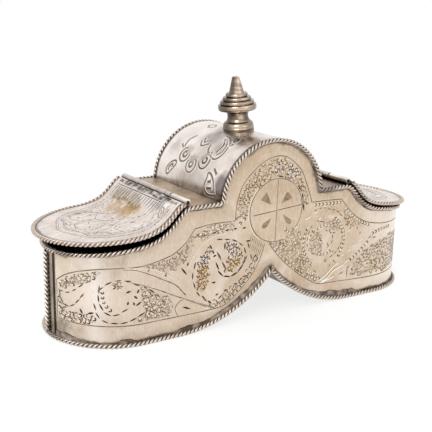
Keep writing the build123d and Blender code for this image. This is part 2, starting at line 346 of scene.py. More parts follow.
lobe_radius = lobe_run / sin(radians(lobe_angle))
cusp = (0, stand_z + lobe_radius * (1 - cos(radians(lobe_angle))))
lobe_line = trace(cusp, -lobe_angle, [(lobe_radius, lobe_angle), (end_centre_x - lobe_run,)])[0]
base_path = front_then_turn(lobe_line, 0, end_centre_x)

lid_line = trace(lid_start, -lid_start_angle, lid_sweep)[0]
lid_centre_x = lid_line[-1][0] + lid_straight
lid_path = front_then_turn(lid_line, lid_end_angle, lid_centre_x)
print("rim, base and lid paths:", len(rim_path[0]), len(base_path[0]), len(lid_path[0]), "points")

# %% [markdown]
# Geometry Nodes tools work on a small mesh that holds a path's points, the edges between them, and for each
# point the direction that faces away from the sheet. The functions here make such a path, put it at the back
# or the left by flipping it, run a tool on it, and keep the result as a plain mesh that rides on its body.

# %% Paths and tools
FRONT_LEFT, FRONT_RIGHT = np.array([-1, 1, 1]), np.array([1, 1, 1])
BACK_LEFT, BACK_RIGHT = np.array([-1, -1, 1]), np.array([1, -1, 1])


def flipped(path, flip):
    """The same path in another quarter of the box."""
    return path[0] * flip, path[1] * flip


def joined(first, second):
    """One path, back along the first and out along the second from their shared start."""
    return tuple(np.vstack([a[:0:-1], b]) for a, b in zip(first, second))


def whole_loop(path, flip):
    """The front and back halves of a loop, as one path from its start at the front."""
    front, back = flipped(path, flip), flipped(path, flip * np.array([1, -1, 1]))
    return tuple(np.vstack([a, b[-2::-1]]) for a, b in zip(front, back))


def lowered(path):
    """A path of the right lid as drawn, swung down about its hinge to where that lid rests."""
    tilt = radians(right_lid_drop)
    swing = np.array([[cos(tilt), 0, -sin(tilt)], [0, 1, 0], [sin(tilt), 0, cos(tilt)]])
    hinge = np.array([hinge_x, 0, hinge_z])
    return hinge + (path[0] - hinge) @ swing, path[1] @ swing


def keep(mesh, **values):
    """Keeps a value for each point of a mesh in each named attribute."""
    for title, numbers in values.items():
        layer = mesh.attributes.new(title, "FLOAT", "POINT")
        layer.data.foreach_set("value", np.ravel(numbers).astype(np.float32))


def shaped(name, places, edges, faces, **values):
    """An object from points in millimetres, with the values that they keep."""
    mesh = bpy.data.meshes.new(name)
    mesh.from_pydata((np.array(places) * mm).tolist(), edges, faces)
    keep(mesh, **values)
    return new_object(name, mesh)


class Tool(Nodes):
    """A Geometry Nodes tree with named inputs."""

    def __init__(self, name, **inputs):
        super().__init__(bpy.data.node_groups.new(name, "GeometryNodeTree"))
        for way in ("INPUT", "OUTPUT"):
            self.tree.interface.new_socket("Geometry", in_out=way, socket_type="NodeSocketGeometry")
        for title, kind in {**inputs, "Material": "Material"}.items():
            self.tree.interface.new_socket(title.replace("_", " "), in_out="INPUT",
                                           socket_type=f"NodeSocket{kind}")
        self.given = self.add("NodeGroupInput").outputs

    def read(self, name, kind="FLOAT_VECTOR"):
        """A value that each point keeps."""
        kept = self.add("GeometryNodeInputNamedAttribute", {"Name": name}, data_type=kind)
        return kept.outputs["Attribute"]

    def store(self, geometry, name, value, kind="FLOAT_VECTOR"):
        """Keeps a value at each point."""
        links = {"Geometry": geometry, "Name": name, "Value": value}
        return self.add("GeometryNodeStoreNamedAttribute", links, data_type=kind, domain="POINT")

    def stepped(self, step):
        """The path as a curve with points at even steps."""
        line = self.add("GeometryNodeMeshToCurve", {"Mesh": self.given["Geometry"]})
        return self.add("GeometryNodeResampleCurve", {"Curve": line, "Length": step}, mode="LENGTH")

    def end(self, geometry):
        """Turns instances into real mesh, gives it its material and ends the tree."""
        real = self.add("GeometryNodeRealizeInstances", {"Geometry": geometry})
        coated = self.add("GeometryNodeSetMaterial", {"Geometry": real, "Material": self.given["Material"]})
        self.add("NodeGroupOutput", {"Geometry": coated})

    def use(self, name, paths, body, slot, replaced=(), girths=None, **values):
        """Runs the tool on paths, keeps the result as a plain mesh and ties it to a body."""
        starts = np.cumsum([0] + [len(points) for points, _ in paths])
        edges = [(i, i + 1) for start, after in zip(starts, starts[1:]) for i in range(start, after - 1)]
        girths = np.ones(starts[-1]) if girths is None else np.hstack(girths)
        source = shaped(name, np.vstack([points for points, _ in paths]), edges, [], girth=girths)
        outward = source.data.attributes.new("outward", "FLOAT_VECTOR", "POINT")
        outward.data.foreach_set("vector", np.vstack([out for _, out in paths]).astype(np.float32).ravel())
        modifier = source.modifiers.new("tool", "NODES")
        modifier.node_group = self.tree
        sockets = {item.name: item.identifier for item in self.tree.interface.items_tree
                   if item.in_out == "INPUT"}
        for title, value in values.items():
            modifier[sockets[title.replace("_", " ")]] = value
        graph = bpy.context.evaluated_depsgraph_get()
        mesh = bpy.data.meshes.new_from_object(source.evaluated_get(graph), depsgraph=graph)
        bpy.data.objects.remove(source)
        mesh.name = name
        piece = new_object(name, mesh)
        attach(piece, body)
        if replaced:
            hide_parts(*replaced)
        print(name, len(mesh.polygons), "faces")


# %% [markdown]
# The trim is two drawn wires twisted together. Its crowns are smoother and get a painted highlight, and the
# groove between the strands gets painted shade. A plain tube with a bump texture would look flat along
# its outline, so the strands are real: each point of the path is pushed sideways by an angle that grows with
# the length, once for each strand. How far a vertex lies from the path is kept as the attribute crown, and
# the material reads it.

# %% Trim wire metal
def trim_wire_metal(name, gap, low, high):
    """Twisted wire, smoother on its crowns with a painted highlight there, painted shade between the strands,
    and darker in a few places.
    """
    metal = Metal(name)
    cloud = metal.noise(5, 2.0)
    wear = metal.worked("MULTIPLY_ADD", cloud, 0.26, -0.13)
    crown_polish_and_sheen = metal.rising(metal.worked("ADD", metal.kept("crown"), wear), 0.56, 0.9)
    # Painted shade in the groove between the strands, and a painted highlight towards the crowns.
    metal.tone = metal.mixed(crown_polish_and_sheen, gap, metal.mixed(cloud, low, high))
    # Darker spots at the left foot, on the rim at the left end, by the barrel's foot and under the right lid.
    metal.spots(6.0, 4.0, *[(centre, radius, 0.6, "665B53") for centre, radius in (
        ((-112, -6, 3), 9), ((-110, -14, 48), 8), ((36, -36, 67), 9), ((60, -36, 56), 9))])
    return metal.finish(metal.rising(crown_polish_and_sheen, 0, 1, 0.75, 0.3))


trim_metal = trim_wire_metal("twisted_nickel_silver_wire", "64564A", "C7B7A8", "E0D5CA")
# The end wires get a brighter copy of the same wire: painted light.
end_trim_metal = trim_wire_metal("rubbed_end_wire", "584C42", "E8DDD2", "FFF8F0")
# The lid wires' copy has paler painted shade between the strands.
lid_trim_metal = trim_wire_metal("polished_lid_wire", "B3A192", "C6B6A7", "DCCFC3")

# %% Twisting tool
strand_radius = wire_radius / 2
strand_sides = 8
twist_pitch = 4.8
steps_per_turn = 12

tool = Tool("twisted_trim", Pitch="Float", Strand_Radius="Float", Step="Float", Rest_Height="Float")
given = tool.given
marked = tool.store(tool.stepped(given["Step"]), "centre", tool.add("GeometryNodeInputPosition"))
length = tool.add("GeometryNodeSplineParameter").outputs["Length"]
angle = tool.worked("MULTIPLY", tool.worked("DIVIDE", length, given["Pitch"]), -2 * pi)
turned = tool.add("ShaderNodeVectorRotate", {"Vector": tool.add("GeometryNodeInputNormal"),
                                             "Axis": tool.add("GeometryNodeInputTangent"), "Angle": angle})
strands = tool.add("GeometryNodeJoinGeometry")
for side in (1, -1):
    reach = tool.worked("MULTIPLY", given["Strand Radius"], side)
    shift = tool.vector("SCALE", turned, Scale=reach)
    strand = tool.add("GeometryNodeSetPosition", {"Geometry": marked, "Offset": shift})
    tool.tree.links.new(strand.outputs[0], strands.inputs[0])
ring = tool.add("GeometryNodeCurvePrimitiveCircle",
                {"Resolution": strand_sides, "Radius": given["Strand Radius"]})
tubes = tool.add("GeometryNodeCurveToMesh",
                 {"Curve": strands, "Profile Curve": ring.outputs["Curve"], "Fill Caps": True})
parts = tool.add("ShaderNodeSeparateXYZ", {0: tool.add("GeometryNodeInputPosition")}).outputs
raised = tool.worked("MAXIMUM", parts["Z"], given["Rest Height"])
rested = tool.add("ShaderNodeCombineXYZ", {"X": parts["X"], "Y": parts["Y"], "Z": raised})
worn = tool.add("GeometryNodeSetPosition", {"Geometry": tubes, "Position": rested})
far = tool.vector("DISTANCE", tool.add("GeometryNodeInputPosition"), tool.read("centre")).outputs["Value"]
share = tool.worked("DIVIDE", far, tool.worked("MULTIPLY", given["Strand Radius"], 2.0))
crowned = tool.store(worn, "crown", share, "FLOAT")
tool.end(tool.add("GeometryNodeSetShadeSmooth", {"Geometry": crowned}))
twist_tool = tool

# %% Twisted trim
end_wire_x = end_centre_x + half_depth + strap_thickness + wire_seat
nose_z = rim_path[0][-1][2]
seam_line = np.linspace((end_wire_x, 0, stand_z + wire_radius), (end_wire_x, 0, nose_z - wire_radius), 60)
seam_path = (seam_line, np.tile([1.0, 0.0, 0.0], (len(seam_line), 1)))
trims = {
    "front_rim": (joined(flipped(rim_path, FRONT_LEFT), rim_path), "box", trim_metal),
    "back_rim": (joined(flipped(rim_path, BACK_LEFT), flipped(rim_path, BACK_RIGHT)), "box", trim_metal),
    "left_base": (whole_loop(base_path, FRONT_LEFT), "box", trim_metal),
    "right_base": (whole_loop(base_path, FRONT_RIGHT), "box", trim_metal),
    "left_end": (flipped(seam_path, FRONT_LEFT), "box", end_trim_metal),
    "right_end": (seam_path, "box", end_trim_metal),
    "left_lid": (whole_loop(lid_path, FRONT_LEFT), "left_lid", lid_trim_metal),
    "right_lid": (lowered(whole_loop(lid_path, FRONT_RIGHT)), "right_lid", lid_trim_metal)}
for edge, (path, body, metal) in trims.items():
    twist_tool.use(edge + "_twist", [path], body, "trim_wire", [edge + "_wire"], Pitch=twist_pitch * mm,
                   Strand_Radius=strand_radius * mm, Step=twist_pitch / steps_per_turn * mm, Rest_Height=0.0,
                   Material=metal)

# %% [markdown]
# Solder runs along every seam in a ragged grey fillet, thickest under the box where it was fed in. A second
# tool sweeps a cross-section along a path. The section's X stands off the sheet and its Y lies on the sheet,
# to the right of the way the path runs. Points far from the wire wander with noise, by the share that the
# section keeps as its attribute spread.

# %% Sweeping tool
def section(name, points):
    """A cross-section to sweep: points as (height off the sheet, way across it, spread, depth)."""
    height, way, spread, depth = np.array(points, float).T
    edges = [(i, i + 1) for i in range(len(points) - 1)]
    return shaped(name, np.stack([height, way, 0 * way], 1), edges, [], spread=spread, depth=depth)


tool = Tool("swept_section", Section="Object", Step="Float", Ragged="Float", Grain="Float")
given = tool.given
outward = tool.read("outward")
aside = tool.vector("CROSS_PRODUCT", tool.add("GeometryNodeInputTangent"), outward)
marked = tool.store(tool.stepped(given["Step"]), "aside", aside)
straight = tool.add("GeometryNodeSetCurveNormal", {"Curve": marked, "Normal": outward}, mode="FREE")
outline = tool.add("GeometryNodeObjectInfo", {"Object": given["Section"]})
ribbon = tool.add("GeometryNodeMeshToCurve", {"Mesh": outline.outputs["Geometry"]})
swept = tool.add("GeometryNodeCurveToMesh", {"Curve": straight, "Profile Curve": ribbon,
                                             "Scale": tool.read("girth", "FLOAT"), "Fill Caps": False})
scale = tool.worked("DIVIDE", 1.0, given["Grain"])
wander = tool.worked("SUBTRACT", tool.add("ShaderNodeTexNoise", {"Scale": scale, "Detail": 3.0}), 0.5)
amount = tool.worked("MULTIPLY", wander, given["Ragged"])
amount = tool.worked("MULTIPLY", amount, tool.read("spread", "FLOAT"))
shift = tool.vector("SCALE", tool.read("aside"), Scale=amount)
ragged = tool.add("GeometryNodeSetPosition", {"Geometry": swept, "Offset": shift})
tool.end(tool.add("GeometryNodeSetShadeSmooth", {"Geometry": ragged}))
sweep_tool = tool


# %% Solder
def solder_metal(name, hollow, crest, lump):
    """Tin solder gone grey and rough where it froze, with painted shade in the hollows of its lumps and a
    painted highlight on their crests, darker along its thin edge, and one painted glint.
    """
    metal = Metal(name)
    lumps = metal.noise(lump, 5.0)
    # The tone follows the lumps' height: painted shade in the hollows and a painted highlight on the crests.
    metal.tone = metal.mixed(metal.rising(lumps, 0.4, 0.66), hollow, crest)
    metal.layer("382E27", metal.worked("MULTIPLY", metal.kept("depth"), 0.75))
    # A painted glint on the solder, low at the front of the left end.
    metal.layer("FFF8F0", metal.spot((-85.6, -36.8, 2.6), 1.8, 1.0, 2.0))
    relief = metal.add("ShaderNodeBump", {"Height": lumps, "Strength": 0.5, "Distance": 0.4 * mm})
    return metal.finish(0.5, 0.85, Normal=relief)


tin = solder_metal("aged_tin_solder", "5E5047", "B3A69B", 4)
# The hinge solder on the lids has brighter crests: a stronger painted highlight.
pale_tin = solder_metal("rubbed_tin_solder", "4F453F", "E2D8D0", 3)


def backwards(path):
    """The same path run from its other end, which puts a swept section on the other side."""
    return path[0][::-1], path[1][::-1]


def on_the_sheet(path):
    """A wire's path moved in to the sheet that it is soldered to."""
    return path[0] - path[1] * wire_seat, path[1]


def fillet(name, reach):
    """Section of a solder fillet that climbs the wire and thins out over the sheet."""
    return section(name, [(0.9, 0.2, 0, 0), (0.85, 0.75, 0, 0), (0.4, 1.25, 0.1, 0),
                          (0.16, reach * 0.7, 0.6, 0), (-0.03, reach, 1, 1)])


rim_solder = fillet("rim_solder", 2.2)
base_solder = fillet("base_solder", 4.4)
rim_amounts = [(0, 0.9)]
left_amounts = [(0, 0.75), (20, 0.8), (33, 0.7), (42, 0.6), (50, 0.7), (56, 0.75), (60, 0.35), (80, 0.3),
                (84, 0.7), (89, 0.8), (92, 0.4), (101, 0.3), (106, 0.45), (110, 0.95)]
right_amounts = [(0, 0.6), (12, 0.5), (25, 0.55), (38, 0.75), (42, 1.0), (60, 0.95), (64, 0.3), (80, 0.3),
                 (92, 0.5), (100, 0.8), (110, 0.9)]
seams = [("front_rim", trims["front_rim"][0], rim_solder, 1.3, rim_amounts),
         ("back_rim", backwards(trims["back_rim"][0]), rim_solder, 1.3, rim_amounts),
         ("left_base", trims["left_base"][0], base_solder, 2.6, left_amounts),
         ("right_base", backwards(trims["right_base"][0]), base_solder, 2.6, right_amounts)]
for edge, path, shape, ragged, amounts in seams:
    girth = np.interp(np.abs(path[0][:, 0]), *zip(*amounts))
    sweep_tool.use(edge + "_solder", [on_the_sheet(path)], "box", "trim_wire", girths=[girth], Section=shape,
                   Step=0.6 * mm, Ragged=ragged * mm, Grain=6 * mm, Material=tin)

# %% [markdown]
# The two walls are bent from flat sheet, each cut to the same batwing outline and soldered at the noses. The
# solid model's walls are exact but have no points in their middle, so nothing can be painted on them. These
# are the same walls as a fine grid. Each point keeps its distance to the nearest trim as the attribute edge,
# for the dirt, solder stains and painted shade beside the trim.

# %% Walls
def on_wall(along, height, off=0.0, side=-1):
    """Places on a wall for lengths along the sheet from its middle and heights, with outward vectors."""
    along, height = np.broadcast_arrays(along, height)
    angle = np.clip((np.abs(along) - end_centre_x) / half_depth, 0, None)
    out = np.stack([np.sign(along) * np.sin(angle), side * np.cos(angle), 0 * angle], -1)
    straight = np.clip(along, -end_centre_x, end_centre_x)
    root = np.stack([straight, 0 * straight, height + 0.0 * straight], -1)
    return root + out * (half_depth + off), out


def on_front(along, height):
    return on_wall(along, height)


def on_back(along, height):
    return on_wall(along, height, side=1)


def wall_top(x):
    """Height of a wall's top edge at a distance from the middle."""
    arch = barrel_z + np.sqrt(np.clip((barrel_radius - half_sheet) ** 2 - x ** 2, 0, None))
    line, headings = trace((shoulder_x, deck_z), 0, rim_sweep + [(60.0,)])
    edge = line + half_sheet * np.stack([-np.sin(headings), np.cos(headings)], 1)
    swept = np.interp(x, edge[:, 0], edge[:, 1])
    return np.where(x < hinge_x - knuckle_radius, np.maximum(arch, deck_z - half_sheet), swept)


def wall_bottom(x):
    """Height of a wall's bottom edge at a distance from the middle."""
    inner = lobe_radius - half_sheet
    return stand_z + lobe_radius - np.sqrt(inner ** 2 - np.clip(lobe_run - x, 0, None) ** 2)


def sheet_grid(name, outer, inner, outside, inside, **values):
    """A sheet from two grids of places, closed round its edges, with values kept on both faces."""
    rows, columns = outer.shape[:2]

    def corner(row, column, face=0):
        return (face * rows + row) * columns + column

    faces, tones = [], []
    for r in range(rows - 1):
        for c in range(columns - 1):
            quad = [corner(r, c), corner(r, c + 1), corner(r + 1, c + 1), corner(r + 1, c)]
            faces += [quad, [i + rows * columns for i in quad[::-1]]]
            tones += [0, 1]
    border = ([(0, c) for c in range(columns)] + [(r, columns - 1) for r in range(1, rows)]
              + [(rows - 1, c) for c in range(columns - 2, -1, -1)]
              + [(r, 0) for r in range(rows - 2, 0, -1)])
    for here, there in zip(border, border[1:] + border[:1]):
        faces.append([corner(*there), corner(*here), corner(*here, 1), corner(*there, 1)])
        tones.append(0)
    both = {title: np.tile(np.ravel(numbers), 2) for title, numbers in values.items()}
    places = np.vstack([outer.reshape(-1, 3), inner.reshape(-1, 3)])
    thing = shaped(name, places, [], faces, **both)
    mesh = thing.data
    mesh.materials.append(outside)
    mesh.materials.append(inside)
    mesh.polygons.foreach_set("material_index", tones)
    mesh.polygons.foreach_set("use_smooth", [True] * len(faces))
    mesh.set_sharp_from_angle(angle=radians(35))
    return thing


def nearest(points, lines):
    """Distance from each point to the nearest of a few lines of points, all flat."""
    least = np.full(points.shape[:-1], 1e9)
    for x, z in np.vstack(lines)[::2]:
        least = np.minimum(least, np.hypot(points[..., 0] - x, points[..., 1] - z))
    return least


# %% [markdown]
# Every sheet has a thin black line beside its trim, of dirt with painted shade, and a ragged stain where the
# solder ran out. Each metal measures how far it is from the trim. The walls carry
# that distance as an attribute. A lid or the roof has a plain outline, so a few steps of arithmetic on the
# place give it. The place is the object's own, so the stains stay put when a lid swings.

# %% Distance to the trim
def wall_edge(metal):
    return metal.kept("edge")


def roof_edge(metal):
    return metal.worked("MULTIPLY_ADD", metal.away(metal.axis("Y")), -1 / mm, half_depth)


def lid_edge(metal):
    outer = metal.worked("SUBTRACT", metal.away(metal.axis("X")), lid_centre_x * mm)
    flat = metal.add("ShaderNodeCombineXYZ", {"X": metal.worked("MAXIMUM", outer, 0.0), "Y": metal.axis("Y")})
    far = metal.vector("LENGTH", flat).outputs["Value"]
    return metal.worked("MULTIPLY_ADD", far, -1 / mm, half_depth)


# %% Sheet metal
lid_top, lid_slopes = trace(lid_start, -lid_start_angle, lid_sweep + [(half_depth + 1.0,)])
lid_lengths = np.r_[0, np.cumsum(np.linalg.norm(np.diff(lid_top, axis=0), axis=1))]
# Tone of the thin line beside the trim: dirt with painted shade.
grime_and_shade = "3A312A"
solder_grey = "776C66"


def sheet_metal(name, light, dark, rough, stains=None, edge=None, soot=0.0, stain=0.0):
    """Aged sheet: two tones in clouds, polishing streaks, then stains, and a dark line of dirt and painted
    shade beside the trim.
    """
    metal = Metal(name)
    metal.tone = metal.mixed(metal.rising(metal.noise(14, 4.0), 0.32, 0.68), dark, light)
    metal.fade(dark, metal.noise(1.6, 2.0, place=metal.stretched(0.12, 0.12, 1.0)), 0.45, 0.75, 0.0, 0.22)
    if stains:
        stains(metal)
    if edge:
        near = edge(metal)
        run_out = metal.ragged(near, 9, -stain * 3.0, 4.0)
        metal.fade(solder_grey, run_out, -stain * 1.05, -stain * 0.55, 0.75, 0.0)
        # The thin dark line beside the trim: dirt with painted shade.
        metal.fade(grime_and_shade, metal.ragged(near, 3, -1.6), soot - 1.1, soot + 0.5, 0.85, 0.0)
    uneven = metal.rising(metal.noise(5, 4.0), 0.35, 0.7, rough - 0.06, rough + 0.08)
    dents = metal.add("ShaderNodeBump", {"Height": metal.noise(9, 2.0), "Strength": 0.16,
                                         "Distance": 0.5 * mm})
    return metal.finish(uneven, Normal=dents)


# %% Tones of the walls and straps
def wall_tones(metal):
    """Painted light at both ends and a painted highlight down the left end, browner in the worked ground, and
    painted shade beside the trim and at the left end.
    """
    x = metal.axis("X")
    # Paler towards both ends: painted light.
    metal.fade("EEDFD0", x, -95 * mm, -10 * mm, 0.6, 0.0)
    metal.fade("FFF6EC", x, 55 * mm, 95 * mm, 0.0, 0.8)
    # Painted shade at the left end's foot and under its rim, and a painted shadow beside the strap.
    metal.spots(8, 6, ((-101, -26, 4), 19, 0.9, "A98B6E"), ((-98, -28, 47), 15, 0.7, "A38D75"))
    metal.spots(6, 6, ((-112, -11, 6), 9, 0.7, "77675A"))
    # Painted shade in a band beside the trim, stronger to the left.
    band = metal.rising(metal.ragged(wall_edge(metal), 12, 6.0), 3.5, 9.5, 1.0, 0.0)
    metal.layer("A68F72", metal.worked("MULTIPLY", band, metal.rising(x, 0.0, 50 * mm, 0.62, 0.25)))
    # A painted highlight down the left end.
    metal.fade("FFF6EF", metal.ragged(metal.away(x, -100), 9, 5 * mm), 3 * mm, 11 * mm, 0.65, 0.0)
    patch = metal.worked("MULTIPLY", metal.kept("ground"), metal.rising(metal.noise(2.5), 0.3, 0.6))
    metal.layer("9C8263", metal.worked("MULTIPLY", patch, 0.62))
    upright = metal.stretched(1.0, 1.0, 0.35)
    metal.fade("F8EDE0", metal.noise(0.8, 3.0, 1.0, upright), 0.5, 0.75, 0.0, 0.4)
    metal.fade("A48B6C", metal.noise(1.1, 3.0, 1.0, upright), 0.55, 0.8, 0.0, 0.35)
    metal.fade("F3E7DA", metal.noise(22, 3.0, 0.8), 0.52, 0.68, 0.0, 0.45)


def strap_edges(metal):
    """Soot along both edges of a strap and beside the wire on it."""
    beside = metal.ragged(metal.away(metal.axis("Y")), 3, 0.6 * mm)
    metal.fade("2E2620", beside, 5.0 * mm, 5.7 * mm, 0.0, 0.9)
    metal.fade("40362E", beside, 1.8 * mm, 3.0 * mm, 0.8, 0.0)


# %% Stains and a painted highlight on the lids
def lid_place(down, y):
    """A place on the left lid, from its way down the lid and across the box."""
    return -np.interp(down, lid_lengths, lid_top[:, 0]), y, np.interp(down, lid_lengths, lid_top[:, 1])


def lid_stains_and_highlight(metal):
    """Scratched along its slope, worn through to brass by the hinge, grey where it was soldered again, with
    one painted highlight.
    """
    down_lid = metal.stretched(0.16, 1.0, 0.16)
    metal.fade("9C8B7A", metal.noise(0.8, 3.0, 0.6, down_lid), 0.52, 0.7, 0.0, 0.5)
    metal.fade("FFF7F1", metal.noise(1.1, 3.0, 0.6, down_lid), 0.5, 0.68, 0.0, 0.7)
    # The white spot, 5.5 down and 24 across at the front, is a painted highlight; the others are brass and
    # grey stains.
    for down, y, radius, share, tone in (
            (18, 15, 6.5, 0.8, "D3B08A"), (16, 3, 6.5, 0.85, "BF9862"), (14, -4, 5, 0.7, "C8A473"),
            (10, 17, 5.5, 0.9, "937844"), (8, 22, 6.5, 0.9, "937844"), (7.5, 14, 5.5, 0.85, "937844"),
            (7.5, 6, 6.5, 0.9, "937844"), (11, 0, 5.5, 0.9, "A08350"), (20, 8, 4, 0.6, "D8BC98"),
            (20, -1, 5, 0.7, "CDAA7E"), (5.5, -24, 3, 0.9, "FFFFFF"), (3, 14, 4.5, 0.8, "8A7E7A"),
            (3, 4, 4, 0.7, "8A7E7A"), (3, -14, 6, 0.85, "8A8086"), (5, -19, 5, 0.7, "8A8086")):
        metal.spots(8.0, 3.0, (lid_place(down, y), radius, share, tone))
    scratched = metal.rising(metal.noise(0.5, 2.0, place=down_lid), 0.52, 0.66)
    worn = metal.worked("MULTIPLY", metal.spot(lid_place(12, 9), 16, 4.0), scratched)
    metal.layer("6F5B38", metal.worked("MULTIPLY", worn, 0.55))
    metal.fade("FFFAF2", metal.noise(0.7, 2.0, place=down_lid), 0.56, 0.7, 0.0, 0.55)


# %% Stains and painted shade on the barrel and decks, and on the hinges
def roof_stains_and_shade(metal):
    """Painted shade low on the barrel and in the dark joint at its foot, the finial's painted shadow and
    reflection, dark patches, paler at the back, greyer in the middle, and painted shade to the right.
    """
    y, z = metal.axis("Y"), metal.axis("Z")
    # Painted shade low on the barrel, and in the dark joint at its foot.
    metal.fade("8C7A6C", metal.ragged(z, 5, 4.0 * mm), 71.5 * mm, 80 * mm, 0.75, 0.0)
    metal.fade("3E342C", metal.ragged(z, 3, 1.5 * mm), 68.6 * mm, 70.4 * mm, 0.85, 0.0)
    metal.fade("FFFCFA", metal.noise(10, 4.0, 1.0), 0.45, 0.75, 0.0, 0.7)
    # Greyer to the right: painted shade.
    metal.fade("CABEB4", metal.axis("X"), -8 * mm, 15 * mm, 0.0, 0.5)
    metal.fade("FFFAF4", y, 4 * mm, 22 * mm, 0.0, 0.45)
    metal.fade("B5A89D", metal.ragged(metal.away(y, -5), 10, 10 * mm, 4.0), 9 * mm, 22 * mm, 0.5, 0.0)
    # The first, second and last spots are the finial's painted shadow round its foot and its painted
    # reflection beside it; the third and fourth are dark patches.
    metal.spots(8.0, 4.0, *[(centre, radius, share, "746A66") for centre, radius, share in (
        ((0, 0, 98), 14.0, 0.65), ((-15, 1, 95), 9.0, 0.45), ((-31, -31, 75), 8.5, 0.85),
        ((-24, 24, 86), 6.0, 0.3), ((-12, -24, 96), 7.0, 0.35))])
    for along, across in ((-33, 1.5), (-30, -9), (-29, 11), (-20, -14)):
        turn = along / barrel_radius
        centre = (barrel_radius * sin(turn), across, barrel_z + barrel_radius * cos(turn))
        metal.spots(5.0, 2.5, (centre, 5.5, 0.5, "8F8175"))


def deck_stains_and_shade(metal):
    """A dark solder joint with painted shade along the barrel's foot, gold-brown patina over the rest."""
    metal.layer("CCA367", metal.worked("MULTIPLY", metal.rising(metal.noise(7, 4.0), 0.44, 0.6), 0.85))
    metal.fade("D8CBBD", metal.noise(3, 4.0), 0.58, 0.7, 0.0, 0.55)
    metal.spots(5.0, 4.0, ((-34, -34, 69), 8, 0.7, "5E5248"))
    # Along the barrel's foot: a dark joint with painted shade in the crease.
    seam = metal.ragged(metal.away(metal.axis("X")), 3, 2.5 * mm)
    metal.fade("4A3F36", seam, 33.2 * mm, 35.4 * mm, 0.85, 0.0)


def hinge_joint_and_shade(metal):
    """Black in the joint between two knuckles, painted shade on the underside where little light gets in,
    greyer behind that joint.
    """
    y = metal.axis("Y")
    metal.fade("A29A94", y, -20 * mm, -18 * mm, 0.0, 0.3)
    metal.fade("2B231D", metal.away(y, -19.5), 0.35 * mm, 0.8 * mm, 0.9, 0.0)
    # Painted shade on the tube's underside.
    low = metal.ragged(metal.axis("Z"), 4, 1.2 * mm)
    metal.fade("8F8882", low, 71.2 * mm, 71.9 * mm, 0.7, 0.0)
    metal.fade("3F362F", low, 69.8 * mm, 70.8 * mm, 0.9, 0.0)


# %% Metals of the pieces
wall_metal = sheet_metal("warm_nickel_silver_sheet", "DAC5AE", "C8B197", 0.34,
                         wall_tones, wall_edge, 0.8, 2.4)
strap_metal = sheet_metal("warm_nickel_silver_strap", "CFC2B0", "9C8E7D", 0.45, strap_edges)
# The inside faces are painted dark for the shade inside the box.
inner_metal = sheet_metal("soot_dark_inside", "4A4138", "302A24", 0.65)
roof_metal = sheet_metal("pale_nickel_silver_barrel", "F3E8E1", "D3C3B8", 0.28,
                         roof_stains_and_shade, roof_edge, 1.0, 1.6)
deck_metal = sheet_metal("patinated_nickel_silver_deck", "D8CCBE", "9E8F7E", 0.4,
                         deck_stains_and_shade, roof_edge, 1.0, 1.5)
lid_metal = sheet_metal("pale_nickel_silver_lid", "F3E7E0", "CFBFB3", 0.3, lid_stains_and_highlight, lid_edge, 0.3, 1.4)
dull_metal = sheet_metal("dull_nickel_silver_sheet", "8C8074", "655B50", 0.5)
hinge_metal = sheet_metal("drawn_nickel_silver_tube", "FBF4EC", "CDC1B4", 0.26, hinge_joint_and_shade)
pin_metal = sheet_metal("iron_wire", "5A524C", "37322E", 0.5)
print("sheet metals:", len([m for m in bpy.data.materials if "sheet" in m.name or "silver" in m.name]))

# %% [markdown]
# The finial was turned on a lathe and polished on it, so its crowns shine. Each groove gets painted shade:
# the metal knows a groove by how little of the room round it is open, which Ambient Occlusion measures. It
# could be masked by height, but then the mask would have to be redrawn for each change of shape. Painted
# shade also takes the side seen at the left, less of the right edge, and the neck but for a painted highlight
# streak.

# %% Finial metal
def turned_metal():
    metal = Metal("turned_nickel_silver")
    rings = metal.noise(1.1, 3.0, place=metal.stretched(0.1, 0.1, 1.0))
    metal.tone = metal.mixed(metal.rising(rings, 0.35, 0.65), "B29C86", "F0E2D2")
    metal.fade("8A7460", metal.noise(5, 4.0), 0.45, 0.7, 0.0, 0.6)
    around = metal.vector("NORMALIZE", metal.vector("MULTIPLY", metal.place, (1.0, 1.0, 0.0)))
    aside = metal.vector("DOT_PRODUCT", around, (0.84, -0.54, 0.0)).outputs["Value"]
    # Painted shade on the side seen at the left and, less, at the right edge.
    side_for_shade = metal.ragged(aside, 3, 0.4)
    metal.fade("52473C", side_for_shade, -0.45, 0.1, 0.85, 0.0)
    metal.fade("6C5F52", side_for_shade, 0.5, 1.0, 0.0, 0.7)
    occluded = metal.add("ShaderNodeAmbientOcclusion", {"Distance": 3 * mm}, samples=8).outputs["AO"]
    # Painted shade in the grooves.
    metal.fade("66584B", occluded, 0.1, 0.7, 0.42, 0.0)
    # Painted shade on the neck, but for a streak of painted highlight.
    off_streak = metal.worked("ABSOLUTE", metal.worked("SUBTRACT", side_for_shade, 0.45))
    neck = metal.rising(metal.away(metal.axis("Z"), 106.0), 1.6 * mm, 3.4 * mm, 1.0, 0.0)
    metal.layer("54453A", metal.worked("MULTIPLY", neck, metal.rising(off_streak, 0.1, 0.35, 0.25, 0.75)))
    return metal.finish(0.2)


finial_metal = turned_metal()

# %% Coats for the solid model's pieces
finishes = {"wall_sheet": strap_metal, "base_sheet": dull_metal, "roof_sheet": roof_metal,
            "lid_sheet": lid_metal, "trim_wire": trim_metal, "hinge_metal": hinge_metal,
            "pin_wire": pin_metal, "turned_finial": finial_metal}
for part in frame["record"]["subparts"]:
    coat = deck_metal if "deck" in part["node"] else finishes[part["material_slot"]]
    mesh = nodes[part["node"]].data
    mesh.materials.clear()
    mesh.materials.append(coat)
    if part["material_slot"] in ("roof_sheet", "lid_sheet"):
        mesh.materials.append(dull_metal)
        mesh.polygons.foreach_set("material_index", [int(face.normal.z < -0.1) for face in mesh.polygons])

